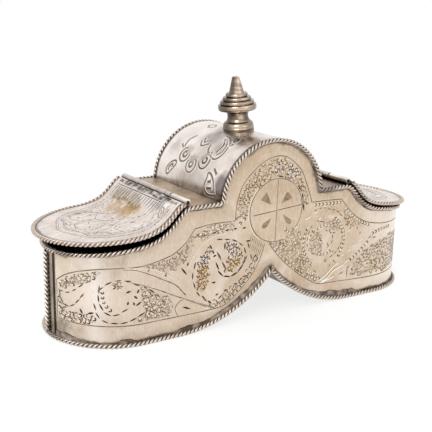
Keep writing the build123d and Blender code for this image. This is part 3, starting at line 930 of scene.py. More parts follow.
# %% [markdown]
# The engraving is drawn flat, as a smith marks it out, and then wrapped on the sheet. The drawing is a few
# points for each line in millimetres along the sheet from its middle and up from the table, and a smooth
# curve goes through them. It is worked with three tools, as on the box: a graver for plain lines, a curved
# graver that is rocked to leave rows of short cuts, and a ring punch for the ground between them.

# %% Drawing helpers
def curved(points, spacing=0.7):
    """A smooth line through a few points."""
    points = np.array(points, float)
    ends = np.vstack([2 * points[0] - points[1], points, 2 * points[-1] - points[-2]])
    runs = []
    for a, b, c, d in zip(ends, ends[1:], ends[2:], ends[3:]):
        count = max(2, int(np.hypot(*(c - b)) / spacing))
        t = np.linspace(0, 1, count, endpoint=False)[:, None]
        runs.append(0.5 * (2 * b + (c - a) * t + (2 * a - 5 * b + 4 * c - d) * t ** 2
                           + (3 * b - a - 3 * c + d) * t ** 3))
    return np.vstack(runs + [points[-1:]])


def curves(*lines):
    return [curved(line) for line in lines]


def circle(centre, radius, start=0, end=360):
    """An arc, with its angles in degrees."""
    angles = np.radians(np.linspace(start, end, max(8, int(abs(end - start) * radius / 30))))
    return np.stack([centre[0] + radius * np.cos(angles), centre[1] + radius * np.sin(angles)], 1)


def strokes(*cuts):
    """Straight cuts of the graver, each from its middle x and z, its angle upwards and its length."""
    lines = []
    for x, z, up, length in cuts:
        way = np.array([cos(radians(up)), sin(radians(up))]) * length
        lines.append(np.array([x, z]) + np.linspace(-0.5, 0.5, 9)[:, None] * way)
    return lines


def other_end(line):
    """A line of one end, drawn at the other."""
    return line * (-1, 1)


# %% Borders and wheel
wheel_centre = (2.8, 59.2)
wheel_radius = 17.3
end_top = [(124.5, 32), (118, 36), (110, 39), (100, 40.8), (90, 41.2)]
end_line = np.array([(-124.5, z) for z in np.linspace(12, 32, 20)])
borders = curves(
    [(-s, z) for s, z in end_top]
    + [(-80, 41), (-72, 41.8), (-66, 43), (-60, 44.8), (-53, 49.8), (-48.5, 55.5)],
    [(-48.5, 55.8), (-40, 57), (-30, 57), (-23.6, 56.8)],
    [(-23.6, 57), (-23, 65), (-21, 72), (-18.5, 76.5), (-14, 81), (-8, 85.5), (0, 88.5), (8, 87.8), (14, 84),
     (19, 79), (22.5, 72), (25, 66), (27, 60.5)],
    [(-124.5, 12), (-110, 11.7), (-90, 11.2), (-60, 10.8), (-40, 10.7), (-30, 11.5), (-25, 14), (-20, 18),
     (-15, 22.5), (-10, 28.5), (-7, 34), (-5, 39.5), (-4.5, 41.5)])
borders += [end_line] + curves(
    [(27, 60.8), (40, 60.4), (48.5, 60)],
    [(48.5, 60), (51.5, 56.5), (57, 51), (63.5, 46.5), (70, 43.7), (80, 41.8)] + end_top[::-1],
    [(-1.5, 42.5), (0, 39.5), (5, 33.5), (10, 28.5), (15, 24.3), (20, 20.3), (25, 17), (30, 14), (36, 12),
     (50, 11.2), (60, 10.5), (80, 10), (124.5, 12)]) + [other_end(end_line)]
wheel = [circle(wheel_centre, wheel_radius)] + curves([(3.3, 76.5), (2.5, 42.0)], [(-12, 58), (20, 60.4)])
wedge_cuts = []
for tip, one, two, bulge in (((-0.8, 62.8), (-7.3, 66.3), (-4.4, 69.6), 0.0),
                             ((5.9, 62.7), (10, 68.3), (12.9, 65.2), 0.05),
                             ((-0.7, 55.1), (-6.6, 52), (-4.1, 50.3), 0.3),
                             ((7.4, 56.1), (10.8, 50.6), (13.1, 51.9), 0.3)):
    for share in np.linspace(0, 1, 9):
        far = np.array(one) + (np.array(two) - one) * share - tip
        wedge_cuts.append(curved([tip, tip + far * (1 - bulge / 2 + bulge * 4 * share * (1 - share))]))
print("border lines:", len(borders), "cuts in the wheel:", len(wedge_cuts))

# %% Left half: rows of cuts, stems and single cuts
dashes_left = curves(
    [(-101.9, 21.6), (-100.2, 16.5), (-96, 13.5), (-90, 12.8), (-85, 13.3), (-78.5, 16)],
    [(-99.6, 30.5), (-100, 26), (-99, 22), (-96.5, 18.7), (-93.3, 16.7), (-87.2, 19.3)],
    [(-38, 13), (-41.6, 17), (-45.4, 20.3), (-47.9, 25.4), (-49.1, 30.8), (-47.9, 36.4)],
    [(-33, 48.2), (-26, 47), (-21.6, 45.1), (-18.5, 42.4), (-16.9, 39.5), (-16.9, 35)],
    [(-14.8, 42.3), (-13.6, 39), (-12.9, 35.8)], [(-32.8, 39), (-30.5, 37), (-30.1, 34)],
    [(-66, 25.7), (-60.4, 22.8), (-55.4, 20.4), (-48.5, 16.9), (-42, 13.6)],
    [(-68, 33), (-59.1, 28), (-54.1, 22.6)], [(-99, 30.8), (-96.5, 33), (-91, 34.9), (-85.5, 34.4)],
    [(-66, 20.5), (-70, 25), (-75, 29), (-81, 32)])
small_dashes = curves([(-121.5, 26.8), (-116.8, 27), (-113.5, 28.4), (-110, 31), (-105, 34.2)],
                      [(-122.5, 26), (-121, 22), (-118, 20), (-113.5, 21), (-110.5, 24), (-108.5, 26.5)])
bold_dashes = curves(
    [(-34.2, 34), (-32.8, 30.3), (-30.2, 28.2), (-26.5, 27), (-22.8, 28), (-19.2, 30.8), (-17, 34.4)],
    [(-33.2, 39.3), (-30.6, 37.2), (-30, 33.4)], [(-49, 17.2), (-43.5, 14.6), (-38, 12.3)])
stems_left = curves(
    [(-88, 40.2), (-81.3, 39.4), (-73, 35.7), (-66, 32), (-59.1, 28), (-54.1, 22.6)],
    [(-86, 34), (-79.4, 31.9), (-71.9, 28.5), (-66, 25.7), (-60.4, 22.8), (-55.4, 20.4), (-48.5, 16.9),
     (-41.6, 13.6)],
    [(-53, 19.2), (-47, 16.4), (-41, 13.8), (-36.5, 11.6)])
arcs_left = curves([(-52, 35.5), (-48.5, 42), (-43, 47.5), (-36, 50.3), (-28, 51.2)],
                   [(-87, 41.3), (-76, 39.5), (-68, 36.6), (-60, 31.6)])
arcs_left.append(circle(wheel_centre, wheel_radius + 0.7, 135, 235))
leaf_left = curves([(-57.8, 11), (-59.4, 15.7), (-56.6, 18.9), (-54.4, 19.2)],
                   [(-76, 12.3), (-68, 16), (-62, 17.6)])
cuts_left = strokes(
    (-85.3, 28.8, 15, 2.8), (-81.6, 25.6, -45, 2.6), (-85.6, 22.9, 80, 2), (-82.5, 22.3, 100, 2),
    (-80, 22, 30, 3.6), (-80.3, 28.5, 60, 2.4), (-109, 18.5, -60, 3.2), (-104, 18, 10, 3.4),
    (-54.3, 34.5, -52, 5.4), (-52.1, 37.9, 70, 2), (-64.8, 34.5, 80, 2.2), (-52.6, 14.5, -22, 5),
    (-36.3, 25.4, 0, 2.6), (-36, 39.8, 10, 2.2), (-34.2, 18.4, 15, 2), (-29.8, 44.2, 90, 4),
    (-15, 44.8, -5, 3.6), (-36.6, 52.2, 15, 3), (-28.5, 52.6, 5, 2.4), (-23.5, 52.6, 0, 2.2),
    (-17.9, 52.3, 0, 2.2), (-42.5, 18.3, -48, 3), (-38.6, 15, -42, 3.4), (-28.7, 19.8, 0, 2.4),
    (-22.5, 22.2, 0, 2.4), (-38.5, 45, -60, 3), (-37, 42, -60, 2.4))
hatches_left = strokes(*[(-13.5 + 1.1 * i - 0.3 * j, 46 - 0.8 * i - 4.0 * j, 74 - 4 * j, 3.4)
                         for i in range(8) for j in range(2)])

# %% Right half: rows of cuts, stems and single cuts
dashes_right = curves(
    [(30, 55.8), (35, 56.6), (40, 55.2), (45, 53.8), (48.6, 50.8)],
    [(43, 27.2), (47.5, 30.2), (50.2, 35.5), (49.5, 41), (46, 45.8)],
    [(40.5, 33.5), (43.4, 36.5), (42.5, 40.5), (38.6, 43)], [(32, 49.4), (36, 48.4)],
    [(27.5, 46.5), (25.4, 42), (25, 37), (27, 32.5), (31, 30), (36, 29)])
stems_right = curves(
    [(35.3, 14), (40, 16.6), (44.4, 20.2), (48.5, 22.4)], [(37, 13.2), (41, 14.6), (45.5, 18.1), (53, 20.6)],
    [(36, 12.6), (41, 13.5), (46, 14.6)])
bright_cuts = strokes(
    (24.7, 52, 20, 5), (30.3, 54.6, 18, 3), (33.2, 50.6, 25, 3), (36.5, 57.3, 0, 2), (55.5, 40.7, 28, 2.8),
    (39.3, 31, 40, 3.4), (51.5, 26.5, 25, 2.4), (56.3, 28.6, 22, 3.2), (60, 31, 25, 3.2), (65.3, 34, 25, 3.4),
    (54.7, 22, 28, 4.6), (69.3, 30.6, 20, 2.4), (8.6, 43.2, 35, 2.6), (12, 45.2, 30, 2.4),
    (16.5, 47.8, 35, 3), (58.6, 24.4, 30, 2), (74, 38, 20, 3))
cuts_right = strokes(
    (34.5, 48.7, -15, 2.6), (24, 43.9, 30, 2), (56.3, 42.2, 60, 2.2), (61.6, 41.4, -60, 2.4),
    (64, 38, 80, 2), (41, 42.6, 0, 1.6), (44, 41, -10, 2.2), (34.3, 40.8, 0, 2.2), (34.5, 39, 90, 1.8),
    (35.7, 35.7, 80, 1.8), (39.8, 34.8, 90, 2.2), (44, 30, 20, 1.8), (42.2, 21.9, 60, 2.2),
    (45.3, 23.8, -50, 3), (42.5, 19.2, 40, 2.2), (31.5, 20.2, -45, 3), (35, 15.6, -50, 3.2),
    (51.2, 15.7, 18, 4), (55.7, 16, 88, 7.5), (56.8, 18.6, 60, 2.4), (75.5, 33.8, 0, 3.2),
    (80.5, 28.8, 0, 2.2), (83.5, 26.5, -40, 2.4), (77, 19, -20, 3), (85.5, 18, -30, 2.2),
    (82, 13.4, -10, 3.2), (72, 24.5, 30, 2.4), (68, 20, -10, 2.4), (90, 34, 20, 3), (95, 24, -30, 3),
    (72, 34.5, 30, 3), (28, 24.5, -60, 3), (26, 28.5, -60, 3.4), (23, 31, -62, 3), (14.5, 47, -50, 3),
    (19.5, 44, 80, 3), (38.8, 25.3, 0, 3), (38.8, 25.3, 60, 3), (38.8, 25.3, 120, 3),
    *[(62 + 2.3 * i, 14.2 - 0.1 * i, 75, 2.4) for i in range(7)])
print("cuts at the left and right:", len(cuts_left), len(cuts_right) + len(bright_cuts))

# %% [markdown]
# The ground between the lines is worked with the ring punch: along the lines in chains, and all over in the
# corners. Each corner is an outline that is filled with points a little out of place, and a point that would
# fall on a line is left out.

# %% Filling an outline
row_height = 0.87
wobble = 0.22


def inside(points, outline):
    """Which points lie inside an outline."""
    x, z = points[..., 0], points[..., 1]
    odd = np.zeros(x.shape, bool)
    for (ax, az), (bx, bz) in zip(outline, outline[1:] + outline[:1]):
        if az != bz:
            odd ^= ((az > z) != (bz > z)) & (x < ax + (z - az) / (bz - az) * (bx - ax))
    return odd


def filled(outline, spacing, seed, lines, gap):
    """Points about one spacing apart over an outline, each a little out of place and clear of the lines."""
    chance = np.random.default_rng(seed)
    low, high = np.min(outline, axis=0), np.max(outline, axis=0)
    x, z = np.meshgrid(np.arange(low[0], high[0], spacing), np.arange(low[1], high[1], spacing * row_height))
    x = x + spacing / 2 * (np.arange(len(x)) % 2)[:, None]
    points = np.stack([x, z], -1).reshape(-1, 2)
    points = points + chance.uniform(-wobble, wobble, points.shape) * spacing
    points = points[inside(points, outline)]
    return points[nearest(points, lines) > gap]


# %% The ground between the lines
arch_ground = ([(-22.5, 57.5), (-22, 65), (-20, 71.5), (-17.7, 75.5), (-13.5, 80), (-7.5, 84.5), (0, 87.4),
                (7.5, 86.7), (13.2, 83), (18, 78.2), (21.5, 71.5), (24, 65.5), (25.8, 60.5)]
               + [(wheel_centre[0] + 18.2 * cos(radians(a)), wheel_centre[1] + 18.2 * sin(radians(a)))
                  for a in range(4, 188, 8)])
grounds_left = [
    [(-123, 30), (-118, 34.5), (-110, 37.5), (-100, 39.5), (-97.5, 39.8), (-102, 36), (-108, 33), (-122, 28)],
    [(-123.5, 13), (-101, 13), (-103, 16.5), (-112, 17), (-117, 17.5), (-123.5, 25)],
    [(-46, 52.8), (-40, 55.9), (-24.2, 56), (-24.2, 52), (-36, 51.4), (-44.5, 48.6)],
    [(-93, 34), (-88, 34), (-89, 30.5), (-93.5, 31)],
    [(-84, 12.6), (-62, 12), (-60.5, 17), (-62, 21.5), (-72, 26.5), (-79, 31), (-77, 20), (-76, 16.5)],
    [(-46.5, 24), (-47, 30), (-46, 37), (-44, 41), (-39, 46), (-37.5, 42), (-40, 37), (-39.5, 28), (-41, 22),
     (-43.5, 21.5)],
    [(-28.6, 46.5), (-24, 45.6), (-20, 42.3), (-18.4, 39), (-19, 34), (-21.5, 31.5), (-27, 28.6), (-30, 30.5),
     (-28.5, 34), (-27.5, 39)]]
curled_ground = [(-80, 40.4), (-70, 41.3), (-62, 43), (-56, 46), (-50, 52.5), (-47.5, 53.5), (-49.5, 46),
                 (-53, 40.5), (-58, 37), (-64, 35.5), (-70, 37.5)]
low_ground = [(-36, 13), (-29, 14), (-24, 16.8), (-19, 21), (-14, 26), (-10.5, 30.5), (-8.5, 36), (-11, 36),
              (-14, 30), (-19, 25), (-25, 21), (-31, 18.5), (-37, 16.5)]
end_ground = [(57.5, 12.5), (88, 12), (110, 14), (122, 15), (122, 29), (108, 33), (90, 33.5), (78, 31),
              (68, 27), (60, 21)]
grounds_right = [
    [(-0.5, 42), (5, 35), (10, 30), (15, 25.8), (20, 22), (24, 20), (25, 27), (22, 33), (20.5, 40), (18, 46),
     (7, 41.5)],
    [(50, 54), (55, 49.5), (62, 45), (67, 42.5), (60, 42.5), (53, 44)],
    [(37, 49.5), (44, 49), (48, 45), (48.5, 41.5), (43, 42.5), (38, 43)],
    [(28, 43), (32, 44), (36, 38), (36, 31.5), (32, 29.5), (28, 32), (26.5, 37)], end_ground,
    [(24, 18.5), (30, 15.3), (33.5, 14.6), (31, 18.5), (28, 23), (25, 23)]]
chains = curves(
    [(-98, 29), (-97.7, 25), (-96.3, 22), (-94.3, 19.8)], [(-20.5, 55), (-18, 57)],
    [(47.5, 46.9), (49.6, 43.8), (51.3, 40), (51.9, 35), (50, 30), (48.6, 27)],
    [(29, 44), (27.6, 40), (28, 36), (29.8, 32.6)], [(57.5, 22.6), (61.5, 25.2), (66, 28), (70, 31.5)],
    [(12.5, 41), (13.5, 36), (13, 31), (16.5, 27)], [(18, 45), (20.5, 40), (21, 34), (23.5, 30)],
    [(52.5, 53.8), (58, 48.8), (64, 44.8), (70, 42)], [(74, 36.5), (80, 38), (88, 38.6)],
    [(29.5, 58.9), (38, 58.6), (47.5, 58.2)])
chains += [circle((38.3, 37.6), 13.2, 10, 60), circle((38.3, 37.6), 16, 150, 230),
           circle((37.3, 37.8), 8.6, 60, 300), curved([(9.5, 47.5), (14, 43), (17.5, 37.5), (19.5, 32)])]
teeth = curves([(-38, 12.2), (-30, 13), (-25.5, 15.2), (-20, 19.6), (-15, 24.3), (-11, 29)],
               [(-0.5, 41), (5, 34.8), (10, 29.8), (15, 25.4), (20, 21.6), (25, 18.4), (30, 15.6)])
curls_left = curves([(-36, 12.8), (-29, 13.8), (-24, 16.6), (-19, 20.9), (-14, 25.8), (-10.5, 30),
                     (-8.6, 35)])

everything = (borders + wheel[:1] + stems_left + stems_right + dashes_left + dashes_right + cuts_left
              + bright_cuts)
rings_left = [filled(outline, 2.0, 10 + i, everything, 0.7) for i, outline in enumerate(grounds_left)]
rings_right = [filled(outline, 2.4 if outline is end_ground else 1.9, 30 + i, everything, 0.7)
               for i, outline in enumerate(grounds_right)]
curls = filled(curled_ground, 2.2, 60, everything, 0.6)
low_marks = filled(low_ground, 2.2, 61, everything, 0.5)
scroll_rings = np.vstack(rings_left[5:])
golden = scroll_rings[:, 1] < 37
rings_arch = filled(arch_ground, 2.2, 50, everything, 0.9)
sooty = (np.hypot(*(rings_arch - (14, 80)).T) < 5) | (np.hypot(*(rings_arch - (3.5, 82)).T) < 3)
print("ring punches:", sum(map(len, rings_left)), sum(map(len, rings_right)), len(rings_arch))

# %% [markdown]
# Two more tools do the stamping. The first walks along a line and leaves a mark at each step, turned along
# the line. The second puts a mark on each point of a cloud, turned at random. Marks vary a little in size, as
# from a hammered punch, from a fixed seed. Each is a few rings of faces a hair above the sheet, with its
# depth kept as an attribute, so that the metal is dark in the cut, with dirt and painted shade, and bright on
# the burr round it, a painted highlight. A real cut would split the sheet's mesh thousands of times to look
# the same.

# %% Marks
def mark(name, rings, segments=10, pointed=False, opening=0.0):
    """A cut to stamp, from rings (half length, half width, height, depth) that widen from its middle."""
    angles = np.linspace(0, 2 * pi, segments, endpoint=False)
    sharpen = np.abs(np.sin(angles)) if pointed else np.ones(segments)
    cut = np.where(np.abs(angles - pi) < opening, 0.0, 1.0)
    places, depths = [(0, 0, rings[0][2])], [rings[0][3]]
    for half_length, half_width, height, depth in rings:
        places += [(half_length * cos(t), half_width * sin(t) * s, height) for t, s in zip(angles, sharpen)]
        depths += list(depth * cut)
    faces = [(0, 1 + i, 1 + (i + 1) % segments) for i in range(segments)]
    for start in range(1, 1 + (len(rings) - 1) * segments, segments):
        for i in range(segments):
            after = (i + 1) % segments
            faces.append((start + i, start + segments + i, start + segments + after, start + after))
    return shaped(name, places, [], faces, depth=depths)


def crescent(name, radius, width, start, end, segments=9):
    """A curved cut to stamp, dark along its middle and bright at both edges."""
    angles = np.radians(np.linspace(start, end, segments))
    across = [(-width, 0.0), (-width * 0.4, 1.0), (width * 0.4, 1.0), (width, 0.0)]
    places = [((radius + way) * cos(t), (radius + way) * sin(t), 0.03 if depth else 0.05)
              for way, depth in across for t in angles]
    faces = [(i, i + segments, i + segments + 1, i + 1)
             for row in range(3) for i in range(row * segments, (row + 1) * segments - 1)]
    return shaped(name, places, [], faces, depth=[depth for _, depth in across for _ in angles])


dash_mark = mark("dash_mark", [(1.3, 0.13, 0.01, 1), (1.8, 0.25, 0.02, 1), (2.15, 0.44, 0.05, 0)], 12, True)
ring_mark = mark("ring_mark", [(0.24, 0.24, 0.06, 0), (0.4, 0.4, 0.02, 1), (0.92, 0.92, 0.02, 1),
                               (1.14, 1.14, 0.04, 0)], opening=0.9)
hatch_mark = mark("hatch_mark", [(0.14, 0.8, 0.01, 1), (0.24, 1.1, 0.02, 1), (0.42, 1.35, 0.05, 0)], 8)
curl_mark = crescent("curl_mark", 1.7, 0.5, -5, 170)

# %% Stamping tools
def stamping_tool(name, follows_line):
    """A tool that puts a mark along lines or on points."""
    tool = Tool(name, Mark="Object", Pitch="Float", Least_Size="Float", Most_Size="Float", Seed="Int")
    given = tool.given
    outward = tool.read("outward")

    def chance(low, high):
        links = {2: low, 3: high, "Seed": given["Seed"]}
        return tool.add("FunctionNodeRandomValue", links, data_type="FLOAT").outputs[1]

    if follows_line:
        points = tool.stepped(given["Pitch"])
        aim = tool.add("GeometryNodeInputTangent")
    else:
        points = given["Geometry"]
        flat = tool.vector("CROSS_PRODUCT", outward, (0.36, 0.8, 0.48))
        turn = chance(-pi, pi)
        aim = tool.add("ShaderNodeVectorRotate", {"Vector": flat, "Axis": outward, "Angle": turn})
    facing = tool.add("FunctionNodeAxesToRotation", {"Primary Axis": outward, "Secondary Axis": aim},
                      primary_axis="Z", secondary_axis="X")
    shape = tool.add("GeometryNodeObjectInfo", {"Object": given["Mark"]}).outputs["Geometry"]
    tool.end(tool.add("GeometryNodeInstanceOnPoints",
                      {"Points": points, "Instance": shape, "Rotation": facing,
                       "Scale": chance(given["Least Size"], given["Most Size"])}))
    return tool


line_tool = stamping_tool("stamped_line", True)
cloud_tool = stamping_tool("stamped_cloud", False)


# %% Grooves and the metal in a cut
def groove(name, edge, crest, floor, burr):
    """A V to plough: its floor, the burr beside it with its height, and its outer edge."""
    return section(name, [(-0.02, -edge, 0, 0), (burr, -crest, 0, 0), (0.02, -floor, 0, 1),
                          (0.02, floor, 0, 1), (burr, crest, 0, 0), (-0.02, edge, 0, 0)])


fine_groove = groove("fine_groove", 0.42, 0.27, 0.15, 0.04)
broad_groove = groove("broad_groove", 0.7, 0.5, 0.28, 0.06)
lobe_groove = groove("lobe_groove", 0.95, 0.68, 0.32, 0.09)
# Dark on one side and bright on the other: painted shade and a painted highlight.
side_groove = section("side_groove", [(-0.02, -0.55, 0, 1), (0.03, -0.3, 0, 1), (0.05, -0.12, 0, 0),
                                      (0.05, 0.2, 0, 0), (-0.02, 0.42, 0, 0)])


def cut_metal(name, floor, burr, rough, patchy=0.0):
    """A cut: one tone in its floor and another on the burr, read from the depth that the marks carry."""
    metal = Metal(name)
    worn = metal.rising(metal.noise(6), 0.35, 0.6, 1.0 - patchy, 1.0)
    # The floor's tone is dirt with painted shade; a burr paler than the sheet is a painted highlight.
    metal.tone = metal.mixed(metal.worked("MULTIPLY", metal.kept("depth"), worn), burr, floor)
    return metal.finish(rough)


dark_cut = cut_metal("soot_filled_cut", "2E2117", "DCC9B2", 0.45)
thin_cut = cut_metal("worn_line_cut", "5E4935", "DCCAB5", 0.4, 0.3)
bright_cut = cut_metal("bright_graver_cut", "8A745C", "FFF6E8", 0.3)
ring_cut = cut_metal("ring_punched_ground", "513C22", "EFDFCB", 0.4, 0.35)
bold_ring_cut = cut_metal("ring_punched_ground_fresh", "43342A", "F3E6D6", 0.4)
faint_ring_cut = cut_metal("ring_punched_ground_rubbed", "6B5236", "E2CDB5", 0.4, 0.45)
feather_cut = cut_metal("chased_feather", "6B5330", "FFFFFF", 0.3, 0.15)
sooty_shaded_cut = cut_metal("ring_punched_ground_with_soot", "47382E", "E9DCCF", 0.45)
golden_cut = cut_metal("ring_punched_ground_with_patina", "6B4A24", "DFC6A4", 0.4)
wedge_cut = cut_metal("shaded_wedge_cut", "5A4A36", "B09B80", 0.4, 0.6)
lobe_cut = cut_metal("lobe_raised_by_a_punch", "65564A", "F3EAE2", 0.3, 0.2)
pale_cut = cut_metal("cut_in_pale_sheet", "65574B", "F6EEE8", 0.35, 0.3)

# %% Fine walls
columns = 420
rows = 64
wall_run = end_centre_x + half_depth * pi / 2
run = np.linspace(-wall_run, wall_run, columns)
bend = np.clip(np.abs(run) - end_centre_x, 0, None) / half_depth
beside = np.where(np.abs(run) < end_centre_x, np.abs(run), end_centre_x + half_depth * np.sin(bend))
low, high = wall_bottom(beside), wall_top(beside)
heights = low + (high - low) * np.linspace(0, 1, rows)[:, None]
flat = np.stack([np.broadcast_to(run, heights.shape), heights], -1)
edge_distance = nearest(flat, [np.stack([run, low], 1), np.stack([run, high], 1)])
ground = np.zeros(heights.shape)
for outline in grounds_left + grounds_right + [arch_ground, curled_ground]:
    ground[inside(flat, outline)] = 0.5 if outline in (curled_ground, arch_ground, end_ground) else 1.0
for name, side in (("front_wall", -1), ("back_wall", 1)):
    grids = [on_wall(run, heights, off, side)[0] for off in (0, -sheet)] + [edge_distance, ground]
    outer, inner, near, trodden = [grid[:, ::-side] for grid in grids]
    piece = sheet_grid(name + "_sheet", outer, inner, wall_metal, inner_metal, edge=near, ground=trodden)
    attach(piece, "box")
    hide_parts(name)
    print(name, len(piece.data.polygons), "faces")

# %% [markdown]
# One table lists the work on a surface. A row has a title, its lines, the shape of the cut, its metal and two
# sizes: of a groove at the start and end of a line, or the least and most of a stamped mark. A spindle is a
# groove that is thin at both ends and full in its middle. A stamped row also has the step along the line, or
# 0 to use every point as it is, and the seed that varies it. Each surface has its own function that wraps the
# flat drawing on it, and both walls share one table.

# %% Engraving on the walls
groove_step = 0.5
groove_grain = 5.0
spindle_end = 0.2
spindle_swell = 1.05


def engrave(prefix, rows, surface_of, body="box", slot="wall_sheet"):
    """Works every row of a table on a surface."""
    for title, lines, shape, metal, sizes, *stamped in rows:
        paths = [surface_of(line[:, 0], line[:, 1]) for line in lines]
        if stamped:
            pitch, seed = stamped
            tool = line_tool if pitch else cloud_tool
            tool.use(prefix + title, paths, body, slot, Mark=shape, Pitch=pitch * mm, Least_Size=sizes[0],
                     Most_Size=sizes[1], Seed=seed, Material=metal)
            continue
        if sizes == "spindle":
            girths = [spindle_end + spindle_swell * np.sin(np.linspace(0, pi, len(line))) for line in lines]
        else:
            girths = [np.linspace(*sizes, len(line)) for line in lines]
        sweep_tool.use(prefix + title, paths, body, slot, girths=girths, Section=shape,
                       Step=groove_step * mm, Ragged=0.0, Grain=groove_grain * mm, Material=metal)


wall_work = [
    ("borders", borders + wheel, fine_groove, thin_cut, (1.15, 1.15)),
    ("wedges", wedge_cuts, broad_groove, wedge_cut, (0.25, 0.8)),
    ("stems", stems_left, fine_groove, thin_cut, (0.6, 1.2)),
    ("leaf", leaf_left, fine_groove, thin_cut, (1.0, 1.0)),
    ("hatches", hatches_left, fine_groove, thin_cut, "spindle"),
    ("bright_arcs", arcs_left, side_groove, bright_cut, (0.55, 0.55)),
    ("bright_stems", stems_right, side_groove, bright_cut, (1.7, 1.1)),
    ("bright_cuts", bright_cuts, side_groove, bright_cut, "spindle"),
    ("cuts", cuts_left, broad_groove, dark_cut, "spindle"),
    ("fine_cuts", cuts_right, fine_groove, dark_cut, "spindle"),
    ("dashes", dashes_left, dash_mark, dark_cut, (0.9, 1.15), 4.6, 1),
    ("bold_dashes", bold_dashes, dash_mark, dark_cut, (1.25, 1.5), 4.6, 1),
    ("small_dashes", small_dashes, dash_mark, dark_cut, (0.8, 1.0), 4.0, 1),
    ("fine_dashes", dashes_right, dash_mark, dark_cut, (0.55, 0.75), 3.2, 1),
    ("chains", chains, ring_mark, ring_cut, (0.85, 1.1), 2.3, 1),
    ("curls", curls_left, curl_mark, thin_cut, (0.4, 0.7), 2.4, 1),
    ("low_curls", [low_marks[::2]], curl_mark, dark_cut, (0.4, 0.75), 0, 12),
    ("low_teeth", [low_marks[1::2]], hatch_mark, dark_cut, (0.7, 1.1), 0, 13),
    ("teeth", teeth, hatch_mark, dark_cut, (0.7, 1.1), 2.9, 1),
    ("arch_dashes", [circle(wheel_centre, 18.4, 84, 0)], dash_mark, dark_cut, (1.1, 1.4), 4.8, 1),
    ("curled_ground", [curls], curl_mark, thin_cut, (0.45, 0.85), 0, 8)]
for title, clouds, metal, seed in (
        ("rings", rings_left[:1] + rings_left[2:5] + rings_right[-1:], ring_cut, 3),
        ("bold_rings", rings_left[1:2], bold_ring_cut, 14),
        ("golden_rings", [scroll_rings[golden]], golden_cut, 9),
        ("scroll_rings", [scroll_rings[~golden]], sooty_shaded_cut, 10),
        ("faint_rings", rings_right[:-1], faint_ring_cut, 4),
        ("arch_rings", [rings_arch[~sooty]], faint_ring_cut, 5),
        ("sooty_rings", [rings_arch[sooty]], sooty_shaded_cut, 6)):
    wall_work.append((title, [np.vstack(clouds)], ring_mark, metal, (0.7, 1.1), 0, seed))
engrave("front_", wall_work, on_front)
engrave("back_", wall_work, on_back)

# %% [markdown]
# The barrel carries a spray of lobes that were raised with a punch: each is a round or a leaf-shaped outline
# with a scroll inside, and there are leaves at its corners. It is drawn flat too, with its first number along
# the arc from the top and its second across the box, and mirrored for the other half.

# %% Engraving on the barrel
def on_barrel(along, y):
    """Places on the barrel for lengths along its arc from the top, and distances across the box."""
    radius = barrel_radius + half_sheet
    angle = along / radius
    out = np.stack([np.sin(angle), 0 * angle, np.cos(angle)], -1)
    return np.stack([0 * angle, y, 0 * angle + barrel_z], -1) + out * radius, out


lobes = [circle((-35.6, 1.5), 4.3, 60, 330), circle((-31.4, -9), 4.4, 110, 350),
         circle((-31, 11.4), 4.4, 20, 280)]
lobes += curves(
    [(-12, -7), (-13, -12), (-18, -18), (-24.5, -19.8), (-28.5, -17), (-28.2, -12.5), (-25, -10)],
    [(-14.8, -11), (-18.6, -16), (-23.5, -17.6), (-26.2, -15.2)],
    [(-44.3, 23.6), (-41, 23.8), (-37.5, 20.8), (-36, 17), (-38, 15.8), (-41.6, 18.5), (-44.4, 21.6),
     (-44.3, 23.6)],
    [(-46.6, -27.5), (-41, -24.8), (-37.2, -20.5), (-36.5, -17.2), (-39.5, -17.4), (-44, -16.8), (-47.2, -20),
     (-47.4, -25), (-46.6, -27.5)],
    [(-27.5, 17), (-25.4, 20.6)], [(-27, 16.5), (-22, 17.4), (-17.5, 14.8)],
    [(-20, 6.4), (-23.4, 3), (-21, -1.4)], [(-17.6, 5.6), (-20.6, 3), (-18.6, 0)],
    [(-8, 17), (-5, 20.5), (-3, 17), (-6, 14), (-8, 17)])
scrolls = [circle((-35.2, 1.6), 1.7, 40, 320), circle((-31, -8.8), 1.7, 90, 370),
           circle((-30.8, 11.2), 1.8, 0, 280), circle((-13.6, -18.6), 1.3), circle((-17.2, -19.2), 1.0)]
scrolls += curves(
    [(-14.5, -9.5), (-18, -13.2), (-21, -14.2), (-24.8, -13.6)],
    [(-42.6, 21.8), (-40, 21.2), (-38.3, 18.6), (-40.4, 19)], [(-44.6, -19.4), (-44, -23.4)],
    [(-41.4, -18.9), (-40.4, -21.6)], [(-26.4, -7.6), (-24.2, -5.4), (-21, -4.2)],
    [(-36, -24.6), (-33.5, -20.5)])
for title, lines, girth in (("lobes", lobes, 1.15), ("scrolls", scrolls, 1.45)):
    both_halves = lines + [other_end(line) for line in lines]
    engrave("barrel_", [(title, both_halves, lobe_groove, lobe_cut, (girth, girth))], on_barrel,
            slot="roof_sheet")

# %% [markdown]
# Each lid has a tongue-shaped border set in from its edge, rows of scrolls in the middle, and feathered cuts
# beside the hinge. Here the first number runs down the lid from its hinge. Each lid was soldered to its
# hinge again at some time, and the solder stands in a rough grey band beside the tube.

# %% Engraving on the lids
def on_lid(along, y):
    """Places on the right lid as drawn, for lengths down it from its start and distances across the box."""
    slope, x, z = [np.interp(along, lid_lengths, v) for v in (lid_slopes, lid_top[:, 0], lid_top[:, 1])]
    out = np.stack([-np.sin(slope), 0 * slope, np.cos(slope)], -1)
    return np.stack([x, y + 0 * x, z], -1) + out * half_sheet, out


def on_left_lid(along, y):
    return flipped(on_lid(along, y), FRONT_LEFT)


def on_right_lid(along, y):
    return lowered(on_lid(along, y))


